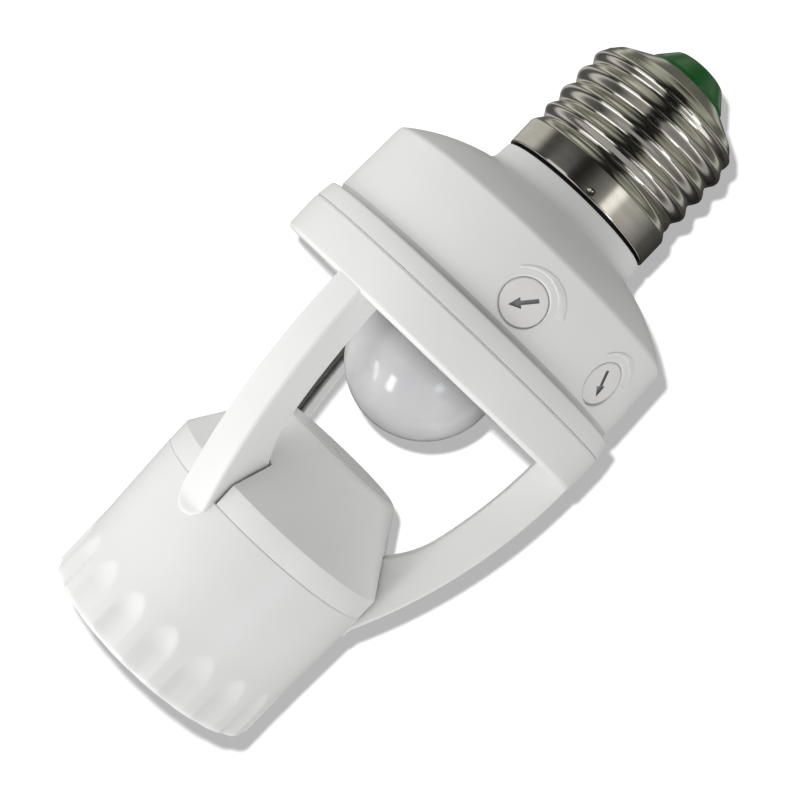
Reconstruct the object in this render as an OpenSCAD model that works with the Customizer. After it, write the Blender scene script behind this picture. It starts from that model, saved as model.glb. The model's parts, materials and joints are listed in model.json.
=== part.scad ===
// Motion sensor lamp holder: a screw cap on top, a round sensor housing under it,
// and a lamp socket hung from the housing on three bowed arms.
// Millimetres. Z is the axis, with z = 0 at the rim of the lamp socket.
// The two adjusting dials face -Y.

/* [Lamp socket] */
// Height of the fluted socket skirt, up to the parting line of its roof
socket_h = 25; // [22:0.5:30]
// Outer diameter of the skirt at its rim
socket_rim_d = 37.8; // [36:0.1:40]
// Outer diameter of the skirt at the parting line
socket_top_d = 38.8; // [38:0.1:41]
// Wall of the skirt
socket_wall = 1.8; // [1.6:0.1:2.2]
// Number of finger flutes round the rim
flute_count = 18; // [12:1:20]
// Depth of each flute at the rim
flute_depth = 1.2; // [0.6:0.1:1.3]
// Height at which the flutes run out
flute_h = 8.6; // [6:0.2:12]

/* [Socket roof] */
// Height of the straight band under the roof
roof_band_h = 3.5; // [2.5:0.1:5]
// Height of the conical part of the roof
roof_h = 12; // [9:0.5:13]
// Diameter of the flat top of the roof
roof_top_d = 19.2; // [16:0.2:22]
// Wall of the roof
roof_wall = 1.6; // [1.2:0.1:2]
// Rounding of the roof's top edge
roof_edge_r = 1.6; // [0.8:0.1:2.4]
// Diameter of the small hole in the middle of the roof
roof_hole_d = 2.6; // [1.5:0.1:4]

/* [Arms] */
// Height of the clear window between the roof and the collar
window_h = 19.1; // [16:0.1:26]
// Depth of an arm, measured towards the axis
arm_depth = 6; // [5:0.1:7]
// Width of an arm under the collar
arm_top_w = 5; // [4:0.1:6]
// Width of an arm at its foot
arm_foot_w = 5.8; // [4.6:0.1:7]
// Distance from the parting line down to the rounded end of an arm's foot
arm_foot_drop = 4.2; // [3:0.1:5]
// Radius of the flare on the inner side of an arm's foot
arm_flare_r = 17; // [14:0.5:20]
// Gap between the feet of the arms and the roof
notch_gap = 0.35; // [0.15:0.05:0.5]
// Width of the wire slot in the rear arm
slot_w = 2.4; // [1.8:0.1:3]

/* [Collar and housing] */
// Outer diameter of the collar
collar_d = 56.9; // [54:0.1:60]
// Height of the collar
collar_h = 6.3; // [5:0.1:8]
// Height of the flange of the housing, above the collar
flange_h = 2.8; // [2.2:0.1:4]
// Amount the flange slopes in towards its top
flange_slope = 0.65; // [0.3:0.05:0.8]
// Width of the ledge that the flange leaves round the housing wall
ledge = 1.65; // [1.2:0.05:3]
// Amount the housing wall leans in towards its top
housing_lean = 0.45; // [0.2:0.05:1.2]
// Height of the housing wall
housing_h = 12.5; // [11:0.1:16]
// Height of the domed shoulder
shoulder_h = 6.1; // [4.5:0.1:8]
// Radius of the shoulder's curve
shoulder_r = 30; // [24:1:60]
// Diameter of the neck below the screw cap
neck_d = 26.9; // [26.8:0.1:28]
// Height of the neck
neck_h = 3.4; // [2:0.1:6]
// Wall of the collar and the housing
shell_wall = 1.6; // [1.4:0.1:1.8]

/* [Screw cap] */
// Diameter over the crests of the thread
thread_d = 26.24; // [26.05:0.01:26.4]
// Diameter in the roots of the thread
thread_root_d = 24.5; // [24.36:0.02:24.66]
// Rise of the thread in one turn
thread_pitch = 3.63; // [3.6:0.01:3.66]
// Height of the threaded stretch
thread_h = 13.4; // [12.6:0.1:16]
// Diameter of the plain skirt below the thread
cap_skirt_d = 26.5; // [26.4:0.02:26.8]
// Height of the plain skirt
cap_skirt_h = 6.2; // [5:0.1:8]
// Dark gap between the neck and the plain skirt
cap_gap = 0.5; // [0.2:0.1:0.6]
// Thickness of the metal of the cap
cap_wall = 0.4; // [0.3:0.05:0.5]
// Height of the four crimp marks above the foot of the plain skirt
crimp_up = 1.3; // [1:0.1:2.5]
// Height of the cone at the end of the cap
cap_cone_h = 3.3; // [2.8:0.1:5]
// Diameter of the green insulator where it leaves the metal
insulator_d = 12.8; // [12:0.1:15]
// Diameter of the flat end of the insulator
insulator_top_d = 8.2; // [7.4:0.1:9.6]
// Height of the insulator above the metal
insulator_h = 3.7; // [2.6:0.1:4]
// Diameter of the tip contact
tip_d = 5.4; // [4:0.1:6.6]
// Height of the tip contact above the insulator
tip_h = 0.3; // [0.2:0.1:0.8]

/* [Sensor] */
// Outer diameter of the lens dome
lens_d = 24; // [20:0.2:26]
// Wall of the lens
lens_wall = 0.8; // [0.6:0.1:1.2]
// Diameter of the sensor can
sensor_d = 8.2; // [7.8:0.1:9]
// Height of the sensor can
sensor_h = 3.6; // [3:0.1:3.7]
// Diameter of the light cell
light_cell_d = 5; // [4:0.1:5.4]
// Gap between the light cell and the ring round the lens
cell_gap = 0.4; // [0.2:0.1:1.2]

/* [Dials] */
// Diameter of each dial
dial_d = 6.6; // [6:0.1:7.4]
// Gap round a dial in its hole
dial_gap = 0.2; // [0.12:0.02:0.3]
// Angle of each dial from the middle of the front
dial_angle = 19.7; // [19:0.1:22]
// Height of the dials above the parting line of the housing
dial_up = 7.6; // [7.2:0.1:8.2]
// Direction of the time dial's arrow in the photographed setting
time_arrow = 229; // [90:1:239]
// Direction of the light dial's arrow in the photographed setting
light_arrow = -59; // [-59:1:90]
// Length of the arrow
arrow_l = 4.4; // [3.6:0.1:5]
// Width of the arrow's shaft
arrow_w = 0.8; // [0.6:0.1:1]
// Depth of the arrow
arrow_depth = 0.7; // [0.4:0.1:1]

/* [Lamp contacts] */
// Bore of the plain mouth of the inner screw shell
mouth_d = 26.9; // [26.8:0.02:27.2]
// Height of the plain mouth
mouth_h = 3; // [2.5:0.1:4]
// Distance of the mouth above the rim
mouth_up = 4.5; // [3:0.1:6]
// Clearance between the lamp's thread and the inner thread
lamp_fit = 0.1; // [0.05:0.01:0.15]
// Thickness of the insulating disc that carries the contacts
carrier_t = 3.8; // [3:0.1:5]

/* [Circuit] */
// Gap between the circuit board and the wall round it
board_gap = 1.3; // [0.8:0.1:2]
// Thickness of the circuit board
board_t = 1.6; // [1.2:0.1:2]
// Height of the board above the floor of the collar
board_up = 3.8; // [3.8:0.1:4.2]
// Length of the relay
relay_l = 18; // [15:0.5:19]
// Width of the relay
relay_w = 10; // [8:0.5:11]
// Height of the relay
relay_h = 12.2; // [10:0.2:13]
// Length of the film capacitor
film_cap_l = 13; // [10:0.5:14]
// Thickness of the film capacitor
film_cap_w = 6; // [4:0.5:6.5]
// Height of the film capacitor
film_cap_h = 10.5; // [8:0.5:12]
// Diameter of the electrolytic capacitor
can_cap_d = 8; // [6:0.5:8.5]
// Height of the electrolytic capacitor
can_cap_h = 11; // [8:0.5:12]
// Length of the control chip
chip_l = 9.9; // [8:0.1:11]
// Width of the control chip
chip_w = 3.9; // [3:0.1:4.2]

/* [Fixings] */
// Diameter of the screw shanks
screw_d = 2.4; // [2:0.1:2.6]
// Diameter of the screw heads
screw_head_d = 4.6; // [4:0.1:5]
// Thickness of the screw heads
screw_head_h = 0.8; // [0.6:0.1:0.9]
// Distance of the housing screws in from the edge of the circuit board
screw_inset = 1.5; // [1.2:0.1:2]
// Diameter of the insulated wires
wire_d = 1.3; // [1:0.1:1.4]

/* [Hidden] */

$fn = 96;
white = [0.88, 0.88, 0.86];
nickel = [0.72, 0.71, 0.68];
brass = [0.80, 0.66, 0.36];
green = [0.05, 0.30, 0.10];
seat = 0.05;
slip = 0.15;
cut = 1;

// Heights, from the rim up
parting_z = socket_h;
band_top_z = parting_z + roof_band_h;
roof_top_z = band_top_z + roof_h;
collar_z = roof_top_z + window_h;
floor_z = collar_z + shell_wall;
joint_z = collar_z + collar_h;
flange_z = joint_z + flange_h;
wall_top_z = flange_z + housing_h;
neck_z = wall_top_z + shoulder_h;
neck_top_z = neck_z + neck_h;
cap_z = neck_top_z + cap_gap;
thread_z = cap_z + cap_skirt_h;
cone_z = thread_z + thread_h;
insulator_z = cone_z + cap_cone_h;
tip_z = insulator_z + insulator_h;
board_z = floor_z + board_up;
board_top_z = board_z + board_t;
dial_z = joint_z + dial_up;

// Radii
collar_r = collar_d / 2;
rim_r = socket_rim_d / 2;
socket_r = socket_top_d / 2;
roof_top_r = roof_top_d / 2;
neck_r = neck_d / 2;
cap_r = cap_skirt_d / 2;
cap_bore_r = thread_root_d / 2 - cap_wall;
spigot_r = cap_bore_r - slip;
housing_foot_r = collar_r - ledge;
housing_top_r = housing_foot_r - housing_lean;
lip_r = collar_r - shell_wall - slip;
lip_t = 0.9;
board_r = lip_r - lip_t - board_gap;

// Arms: an outer curve that leaves the collar straight down and meets the skirt
arm_angles = [90, 210, 330];
arm_inset = 0.15;
arm_r = collar_r - arm_inset;
foot_proud = 0.3;
foot_z = parting_z - arm_foot_drop / 2;
bow_z = floor_z;
bow_drop = arm_r - socket_r - foot_proud;
bow_r = (bow_drop * bow_drop + (bow_z - foot_z) * (bow_z - foot_z)) / (2 * bow_drop);
bow_c = arm_r - bow_r;
flare_z = roof_top_z + 0.8;
flare_a = asin((bow_z - flare_z) / (bow_r - arm_depth));
flare_c = [
    bow_c + (bow_r - arm_depth - arm_flare_r) * cos(flare_a),
    bow_z - (bow_r - arm_depth - arm_flare_r) * sin(flare_a)
];
roof_run = (socket_r - roof_top_r) / roof_h;
roof_slope = atan2(roof_h, socket_r - roof_top_r);
foot_sunk = 1.1;
notch_foot = [socket_r - foot_sunk, band_top_z];
notch_line = [-roof_run, 1] / norm([roof_run, 1]);
notch_b = (notch_foot - flare_c) * notch_line;
notch_c = (notch_foot - flare_c) * (notch_foot - flare_c) - arm_flare_r * arm_flare_r;
foot_in = notch_foot - (notch_b + sqrt(notch_b * notch_b - notch_c)) * notch_line;
foot_in_r = foot_in[0];
foot_in_z = foot_in[1];
flare_end_a = atan2(flare_c[1] - foot_in_z, foot_in_r - flare_c[0]);

// Crimp marks that hold the metal cap on the spigot
crimp_angle = 243;
crimp_r = 0.9;
crimp_depth = 0.3;

// Screws of the housing stand between the arms, the posts of the board beside them
screw_angles = [30, 150, 270];
post_angles = [0, 120, 240];
post_r = 1.8;
post_at = board_r - post_r - 1.2;
boss_r = screw_d / 2 + 1.2;
lens_flange_r = lens_d / 2 + 1.6;
ring_r = lens_flange_r + 1;
screw_at = board_r - screw_inset;
light_cell_at = ring_r + cell_gap + light_cell_d / 2;
carrier_screw_at = 9.5;
carrier_z = parting_z - 1.8;
screw_end_z = band_top_z + roof_h / 2 - 1;
socket_spigot_r = socket_r - socket_wall - slip;
socket_spigot_t = 1.25;
carrier_r = socket_spigot_r - socket_spigot_t - 0.2;
shell_end_t = 0.4;
lamp_shell_wall = 0.35;
lamp_crest_r = thread_d / 2 + lamp_fit;
lamp_root_r = thread_root_d / 2 + lamp_fit;
shell_hole_r = 7.2;
rivet_r = 1;
rivet_head_r = 1.7;
contact_rivet_y = -4.2;
shell_rivet_y = 10.1;

// Places of the parts on the board
relay_at = [0, 11.5];
film_cap_at = [-4, 1.2];
can_cap_at = [board_r - can_cap_d / 2 - 5.5, -6];
chip_at = [2.2, -7.5];
chip_h = 1.6;
diode_at = [6.5 - board_r, -7];
diode_step = 3.4;
diode_l = 4.6;
diode_r = 1.3;
diode_up = 1.4;
resistor_at = [8.4, 4];
resistor_step = 3.2;
resistor_l = 4;
resistor_r = 1.1;
resistor_up = 1.3;
lead_r = 0.3;

// Dials stand square to the housing wall at their own height
dial_r_out = housing_foot_r
    - (housing_foot_r - housing_top_r) * (dial_z - flange_z) / housing_h - 0.25;
dial_t = 2.2;
pot_face_r = dial_r_out - dial_t - 0.5;
pot_size = [7, 4.8];
pot_top = 3.4;
rotor_r = 2.3;
rotor_t = 1.4;
key_r = 1.2;
key_l = 1.2;

function arc(c, r, a0, a1, n = 12) =
    [for (i = [0:n]) let (a = a0 + (a1 - a0) * i / n) c + r * [cos(a), sin(a)]];

function unit(v) = v / norm(v);

// Centre of the circle of radius r that passes through p and q, on the side of the axis
function arc_centre(p, q, r) =
    let (m = (p + q) / 2, d = q - p, h = sqrt(r * r - norm(d) * norm(d) / 4))
    m + h * unit([-d[1], d[0]]);

function angle_at(c, p) = atan2(p[1] - c[1], p[0] - c[0]);

// Places a child, drawn with its face towards +Z and its top towards +Y, on the wall
module on_wall(angle, r, z) rotate([0, 0, angle]) translate([r, 0, z]) rotate([90, 0, 90]) children();

module round_pin(x, y, z0, z1, r, fn = 48) translate([x, y, z0]) cylinder(h = z1 - z0, r = r, $fn = fn);

module at_angles(angles, r) for (a = angles) rotate([0, 0, a]) translate([r, 0, 0]) children();

// Screw thread as a height field on a cylinder, faded out at both ends
module thread_solid(root_r, crest_r, z0, z1, start_z, sides, steps) {
    rings = ceil((z1 - z0) / thread_pitch * steps);
    run = thread_pitch * 0.55;
    points = [
        for (j = [0:rings], i = [0:sides - 1])
            let (
                a = 360 * i / sides,
                z = z0 + (z1 - z0) * j / rings,
                fade = min(1, (z - z0) / run, (z1 - z) / run),
                wave = 0.5 + 0.5 * cos(360 * (z - start_z) / thread_pitch - a),
                r = root_r + (crest_r - root_r) * fade * wave
            )
            [r * cos(a), r * sin(a), z]
    ];
    sides_up = [
        for (j = [0:rings - 1], i = [0:sides - 1])
            let (k = (i + 1) % sides, b = j * sides, t = b + sides)
            each [[b + i, t + i, b + k], [b + k, t + i, t + k]]
    ];
    foot = [for (i = [0:sides - 1]) i];
    head = [for (i = [0:sides - 1]) rings * sides + sides - 1 - i];
    polyhedron(points = points, faces = concat(sides_up, [foot], [head]), convexity = 10);
}

// Round wire through a list of points, as rings square to the route
module wire(route, ref, r = wire_d / 2, sides = 8) {
    last = len(route) - 1;
    points = [
        for (j = [0:last])
            let (
                t = unit(route[min(j + 1, last)] - route[max(j - 1, 0)]),
                u = unit(cross(t, ref)),
                v = cross(t, u)
            )
            for (i = [0:sides - 1])
                let (a = 360 * i / sides)
                route[j] + r * (cos(a) * u + sin(a) * v)
    ];
    skin = [
        for (j = [0:last - 1], i = [0:sides - 1])
            let (k = (i + 1) % sides, b = j * sides, t = b + sides)
            each [[b + i, t + i, b + k], [b + k, t + i, t + k]]
    ];
    foot = [for (i = [0:sides - 1]) i];
    head = [for (i = [0:sides - 1]) last * sides + sides - 1 - i];
    polyhedron(points = points, faces = concat(skin, [foot], [head]), convexity = 4);
}

// Flat strip of one thickness through a list of points in the plane
module strip(points, t) {
    for (i = [0:len(points) - 2])
        let (d = points[i + 1] - points[i])
        translate(points[i]) rotate(atan2(d[1], d[0])) translate([0, -t / 2]) square([norm(d), t]);
    for (p = points) translate(p) circle(r = t / 2, $fn = 24);
}

// Screw with a low round head at the bottom and its shank upward
module screw(z0, z1) {
    head = z0 + screw_head_h;
    difference() {
        union() {
            round_pin(0, 0, z0, head, screw_head_d / 2);
            round_pin(0, 0, head - seat, z1, screw_d / 2);
        }
        for (a = [0, 90])
            rotate(a) translate([-screw_head_d * 0.3, -0.3, z0 - cut]) cube([screw_head_d * 0.6, 0.6, cut + 0.4]);
    }
}

// Outer line of the shoulder, from the top of the wall to the neck, moved in by t
shoulder_foot = [housing_top_r, wall_top_z];
shoulder_head = [neck_r, neck_z];
shoulder_c = arc_centre(shoulder_foot, shoulder_head, shoulder_r);
function shoulder_line(t, r_in) =
    let (
        r = shoulder_r - t,
        foot_a = acos((housing_top_r - t - shoulder_c[0]) / r),
        head_a = acos((r_in - shoulder_c[0]) / r)
    )
    arc(shoulder_c, r, foot_a, head_a, 16);

// Half section of the whole housing, used for its shell and to trim the bosses
module housing_section(t) {
    polygon(concat(
        [[0, flange_z - cut], [housing_foot_r - t, flange_z - cut]],
        shoulder_line(t, neck_r - t),
        [[0, shoulder_line(t, neck_r - t)[16][1]]]
    ));
}

module dial_scale(angle) {
    scale_in = dial_d / 2 + 1.5;
    scale_shift = 0.6;
    intersection() {
        on_wall(angle, collar_r / 2, dial_z) linear_extrude(collar_r)
            intersection() {
                difference() {
                    translate([scale_shift, 0]) circle(r = scale_in + scale_shift);
                    circle(r = scale_in - 0.2);
                }
                polygon([for (a = [0, 18, 60, 100, 139]) a == 0 ? [0, 0] : 2 * dial_d * [cos(a), sin(a)]]);
            }
        rotate_extrude() polygon([
            [housing_foot_r - shell_wall / 2, flange_z],
            [housing_foot_r + 0.2, flange_z],
            [housing_top_r + 0.2, wall_top_z],
            [housing_top_r - shell_wall / 2, wall_top_z]
        ]);
    }
}

// Cap side of the housing: flange, wall, shoulder, neck and the spigot for the metal cap
module upper_housing() color(white) {
    lip_gap_r = collar_r - shell_wall;
    inner_foot_r = housing_foot_r - shell_wall;
    web_z = flange_z - shell_wall + 0.2;
    spigot_in_r = spigot_r - shell_wall;
    edge = 0.35;
    difference() {
        union() {
            rotate_extrude() polygon(concat(
                [[lip_gap_r, joint_z], [collar_r - edge, joint_z], [collar_r - 0.05, joint_z + edge]],
                arc([collar_r - flange_slope - 0.4, flange_z - 0.4], 0.4, 5, 90, 4),
                [[housing_foot_r, flange_z]],
                shoulder_line(0, neck_r),
                [
                    [neck_r, neck_top_z], [spigot_r, neck_top_z], [spigot_r, thread_z + 2],
                    [spigot_in_r, thread_z + 2]
                ],
                [for (i = [16:-1:0]) shoulder_line(shell_wall, spigot_in_r)[i]],
                [[inner_foot_r, web_z], [lip_gap_r, web_z]]
            ));
            dial_scale(270 - dial_angle);
            dial_scale(270 + dial_angle);
            intersection() {
                at_angles(screw_angles, screw_at) round_pin(0, 0, floor_z + slip, neck_z, boss_r);
                union() {
                    rotate_extrude() housing_section(shell_wall / 2);
                    round_pin(0, 0, floor_z, flange_z, inner_foot_r);
                }
            }
        }
        for (s = [-1, 1])
            on_wall(270 + s * dial_angle, pot_face_r, dial_z)
                cylinder(h = 2 * shell_wall + dial_t, r = dial_d / 2 + dial_gap);
        at_angles(screw_angles, screw_at) round_pin(0, 0, floor_z, wall_top_z - 4, screw_d / 2 + seat);
    }
}

// Half section of the ring that the three arms are cut from
function arm_band(grow) =
    let (
        out_a = asin((bow_z - foot_z) / bow_r),
        top = collar_z + shell_wall / 2,
        out_top = asin((bow_z - top) / bow_r),
        in_top = asin((bow_z - top) / (bow_r - arm_depth))
    )
    concat(
        arc([bow_c, bow_z], bow_r + grow, -out_top, -out_a, 16),
        [
            [socket_r + foot_proud + grow, foot_z - arm_foot_w - cut],
            [socket_r - socket_wall * 0.6, foot_z - arm_foot_w - cut],
            [socket_r - foot_sunk - grow, band_top_z]
        ],
        arc(flare_c, arm_flare_r - grow, -flare_end_a, -flare_a, 10),
        arc([bow_c, bow_z], bow_r - arm_depth - grow, -flare_a, -in_top, 12)
    );

// Front outline of an arm: a taper with a rounded foot
module arm_front(grow) {
    foot_r = arm_foot_w / 2;
    end_z = parting_z - arm_foot_drop + foot_r;
    polygon(concat(
        [[-arm_top_w / 2 - grow, floor_z], [arm_top_w / 2 + grow, floor_z]],
        [for (p = arc([0, end_z], foot_r + grow, 0, -180, 16)) p]
    ));
}

module arm_blanks(grow) {
    intersection() {
        rotate_extrude() polygon(arm_band(grow));
        for (a = arm_angles)
            rotate([0, 0, a]) rotate([90, 0, 90]) linear_extrude(collar_r + 5) arm_front(grow);
    }
}

// Angle on an arm's curve, at a depth d from its inner face, down to the height z
function arm_angle(d, z) = asin((bow_z - z) / (bow_r - arm_depth + d));

// Slot for the two wires, open towards the axis, in the rear arm and down into the roof
module wire_slot() {
    deep = 2 * wire_d + 0.9;
    rotate([0, 0, 90]) rotate([90, 0, 0]) translate([0, 0, -slot_w / 2]) linear_extrude(slot_w) {
        polygon(concat(
            arc([bow_c, bow_z], bow_r - arm_depth + deep, -arm_angle(deep, carrier_z + carrier_t), 3, 16),
            arc([bow_c, bow_z], bow_r - arm_depth - 2, 3, -arm_angle(-2, foot_in_z + 1), 12),
            [[foot_in_r - 1, foot_in_z - 0.6], [foot_in_r - 4, band_top_z + 1.2]]
        ));
    }
}

// Skirt of the socket with its finger flutes, each a round groove with a ball end
module socket_skirt() {
    seam = 0.35;
    edge = 0.7;
    half = 180 / flute_count;
    flute_in_r = rim_r - flute_depth;
    flute_r = 0.96 * flute_in_r * sin(half) / (1 - sin(half));
    ball_z = flute_h - sqrt(flute_depth * (2 * flute_r - flute_depth));
    difference() {
        rotate([0, 0, half]) rotate_extrude() polygon(concat(
            [[rim_r - socket_wall, flute_h + 2], [rim_r - socket_wall, 0]],
            arc([rim_r - edge, edge], edge, -90, 0, 5),
            [
                [rim_r, flute_h + 2], [socket_r, parting_z - seam], [socket_r - seam, parting_z],
                [socket_r - socket_wall, parting_z]
            ]
        ));
        at_angles([for (i = [0:flute_count - 1]) 270 + (2 * i + 1) * half], flute_in_r + flute_r) {
            round_pin(0, 0, -cut, ball_z, flute_r, 64);
            translate([0, 0, ball_z]) sphere(r = flute_r, $fn = 64);
        }
    }
}

// Collar, three arms and the socket skirt, moulded in one
module lower_frame() color(white) {
    edge = 0.8;
    difference() {
        union() {
            rotate_extrude() polygon(concat(
                [[lens_d / 2 + 0.2, collar_z]],
                arc([collar_r - edge, collar_z + edge], edge, -90, 0, 6),
                [
                    [collar_r, joint_z - 0.35], [collar_r - 0.35, joint_z],
                    [lip_r, joint_z], [lip_r, joint_z + 1], [lip_r - lip_t, joint_z + 1],
                    [lip_r - lip_t, floor_z], [lens_d / 2 + 0.2, floor_z]
                ]
            ));
            socket_skirt();
            arm_blanks(0);
            at_angles(post_angles, post_at) round_pin(0, 0, floor_z - seat, board_z, post_r);
        }
        wire_slot();
        at_angles(screw_angles, screw_at) {
            round_pin(0, 0, collar_z - cut, floor_z + cut, screw_d / 2 + 0.2);
            round_pin(0, 0, collar_z - cut, collar_z + screw_head_h + seat, screw_head_d / 2 + 0.2);
        }
        rotate([0, 0, 300]) round_pin(light_cell_at, 0, collar_z - cut, floor_z + cut, light_cell_d / 2 + 0.2);
    }
}

// Cone that closes the socket between the feet of the arms
module socket_roof() color(white) {
    seam = 0.35;
    spigot_z = carrier_z + slip;
    inner_r = socket_spigot_r - socket_spigot_t;
    inset = roof_wall / sin(roof_slope);
    post_r_out = screw_d / 2 + 1.3;
    edge_c = [roof_top_r - roof_edge_r * tan(roof_slope / 2), roof_top_z - roof_edge_r];
    difference() {
        union() {
            rotate_extrude() polygon(concat(
                [
                    [inner_r, spigot_z], [socket_spigot_r, spigot_z], [socket_spigot_r, parting_z],
                    [socket_r - seam, parting_z], [socket_r, parting_z + seam], [socket_r, band_top_z]
                ],
                arc(edge_c, roof_edge_r, 90 - roof_slope, 90, 6),
                [
                    [0, roof_top_z], [0, roof_top_z - roof_wall],
                    [roof_top_r - inset + roof_wall * roof_run, roof_top_z - roof_wall],
                    [inner_r, band_top_z + (socket_r - inset - inner_r) / roof_run]
                ]
            ));
            intersection() {
                at_angles([0, 180], carrier_screw_at)
                    round_pin(0, 0, carrier_z + carrier_t + seat, roof_top_z, post_r_out);
                rotate_extrude() polygon([
                    [0, parting_z], [socket_r - inset / 2, parting_z], [socket_r - inset / 2, band_top_z],
                    [roof_top_r - inset / 2, roof_top_z - roof_wall / 2], [0, roof_top_z - roof_wall / 2]
                ]);
            }
        }
        arm_blanks(notch_gap);
        wire_slot();
        round_pin(0, 0, roof_top_z - roof_wall - cut, roof_top_z + cut, roof_hole_d / 2);
        at_angles([0, 180], carrier_screw_at) round_pin(0, 0, carrier_z, screw_end_z, screw_d / 2 + seat);
    }
}

// Metal cap: plain skirt, rolled thread and the cone that grips the insulator
module screw_shell() color(nickel) {
    root_r = thread_root_d / 2;
    hole_r = insulator_d / 2 - 0.6;
    cone_out_r = insulator_d / 2 + 0.1;
    difference() {
        union() {
            thread_solid(root_r, thread_d / 2, thread_z - 0.6, cone_z + 0.3, cap_z + cap_skirt_h + 0.68, 48, 8);
            rotate_extrude() polygon(concat(
                [[cap_bore_r - cut, cap_z], [cap_r, cap_z], [cap_r, thread_z - 1.4]],
                [[root_r - 0.15, thread_z], [cap_bore_r - cut, thread_z]]
            ));
            rotate_extrude() polygon([
                [hole_r - cut, cone_z], [root_r - 0.1, cone_z], [root_r - 1.2, cone_z + 1.2],
                [cone_out_r, insulator_z], [hole_r - cut, insulator_z]
            ]);
        }
        round_pin(0, 0, cap_z - cut, cone_z - 0.2, cap_bore_r, 96);
        rotate_extrude() polygon([
            [0, cone_z - cut], [cap_bore_r, cone_z - cut], [cap_bore_r, cone_z - 0.3],
            [cap_bore_r - 1.3, cone_z + 1], [hole_r, insulator_z - 0.5], [hole_r, insulator_z + cut],
            [0, insulator_z + cut]
        ]);
        for (i = [0:3])
            rotate([0, 0, crimp_angle + 90 * i]) translate([cap_r + crimp_r - crimp_depth, 0, cap_z + crimp_up])
                sphere(r = crimp_r, $fn = 24);
    }
}

// Green insulator, seated in the cone of the cap
module cap_insulator() color(green) {
    base_r = insulator_d / 2;
    hole_r = base_r - 0.6 - seat;
    top_r = insulator_top_d / 2;
    bulge_r = 8;
    bulge_c = arc_centre([base_r, insulator_z + 0.5], [top_r, tip_z], bulge_r);
    difference() {
        rotate_extrude() polygon(concat(
            [[0, insulator_z - 0.9], [hole_r, insulator_z - 0.9], [hole_r, insulator_z + seat]],
            [[base_r, insulator_z + seat]],
            arc(bulge_c, bulge_r, angle_at(bulge_c, [base_r, insulator_z + 0.5]), angle_at(bulge_c, [top_r, tip_z]), 8),
            [[0, tip_z]]
        ));
        round_pin(0, 0, insulator_z - 2, tip_z - 0.6, wire_d / 2 + seat);
        round_pin(0, 0, tip_z - 0.7, tip_z + cut, tip_d / 2 + seat);
    }
}

module tip_contact() color(brass) {
    dome = 3 * tip_d;
    intersection() {
        round_pin(0, 0, tip_z - 0.65, tip_z + tip_h, tip_d / 2);
        translate([0, 0, tip_z + tip_h - dome]) sphere(r = dome);
    }
}

// Wire from the board up through the neck to the tip contact
module tip_wire() color([0.7, 0.08, 0.06]) {
    wire([
        [-12, 2, board_top_z], [-12, 2, board_top_z + 4], [-12, 2, board_top_z + film_cap_h],
        [-10.5, 1.7, wall_top_z - 0.5], [-5, 1, neck_z - 1.5], [-1, 0.3, neck_top_z],
        [0, 0, thread_z + 3], [0, 0, cone_z], [0, 0, tip_z - 0.65]
    ], [0, 1, 0], wire_d / 2 - seat);
}

// Wire from the board to the inside of the metal cap
module shell_wire() color([0.12, 0.12, 0.14]) {
    wire([
        [11.5, 1, board_top_z], [11.5, 1, board_top_z + 6], [11, 0.8, wall_top_z - 3],
        [9.4, 0.4, neck_z - 2], [8.2, 0, neck_top_z], [8.2, 0, thread_z + 1],
        [9, 0, thread_z + 3.4], [cap_bore_r - wire_d / 2 - 0.1, 0, thread_z + 5.4],
        [cap_bore_r - wire_d / 2, 0, thread_z + 8]
    ], [0, 1, 0], wire_d / 2 - seat);
}

// Milky lens: a hemisphere below the collar with a flange above its floor
module pir_lens() color([0.86, 0.87, 0.88, 0.9]) {
    r = lens_d / 2;
    rotate_extrude() polygon(concat(
        arc([0, collar_z], r, -90, 0, 24),
        [
            [r, floor_z + seat], [lens_flange_r, floor_z + seat], [lens_flange_r, floor_z + seat + lens_wall],
            [r - lens_wall, floor_z + seat + lens_wall]
        ],
        arc([0, collar_z], r - lens_wall, 0, -90, 24)
    ));
}

// Ring that holds the lens flange down on the floor of the collar
module lens_ring() color([0.30, 0.30, 0.31]) {
    z = floor_z + 2 * seat + lens_wall;
    rotate_extrude() polygon([
        [lens_d / 2 - 0.6, z], [ring_r, z], [ring_r, z + 1.2], [lens_d / 2 - 0.6, z + 1.2]
    ]);
}

sensor_z = board_z - sensor_h - 0.6;
sensor_window = [4, 3, 0.3];

module pir_sensor_can() color([0.78, 0.76, 0.70]) {
    difference() {
        union() {
            round_pin(0, 0, sensor_z, board_z - 0.5, sensor_d / 2);
            round_pin(0, 0, board_z - 0.6, board_z - seat, sensor_d / 2 + 0.5);
        }
        translate([0, 0, sensor_z]) cube(sensor_window + [2 * seat, 2 * seat, 0.5], center = true);
    }
}

module pir_window() color([0.16, 0.17, 0.20])
    translate([0, 0, sensor_z + sensor_window[2] / 2]) cube(sensor_window, center = true);

// Light cell behind its hole in the floor of the collar, on two legs
module light_cell() color([0.75, 0.45, 0.22]) rotate([0, 0, 300]) translate([light_cell_at, 0, 0]) {
    round_pin(0, 0, collar_z + 0.5, floor_z + 0.8, light_cell_d / 2);
    for (s = [-1, 1]) round_pin(0, s * light_cell_d / 4, floor_z + 0.7, board_z - seat, 0.3, 24);
}

module circuit_board() color([0.10, 0.36, 0.20]) {
    difference() {
        round_pin(0, 0, board_z + seat, board_top_z, board_r, 96);
        at_angles(screw_angles, screw_at) round_pin(0, 0, board_z - cut, board_top_z + cut, boss_r + 0.3);
    }
}

module block(centre, size) translate([centre[0] - size[0] / 2, centre[1] - size[1] / 2, board_top_z]) cube(size);

module relay_case() color([0.10, 0.22, 0.55]) block(relay_at, [relay_l, relay_w, relay_h]);

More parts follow.
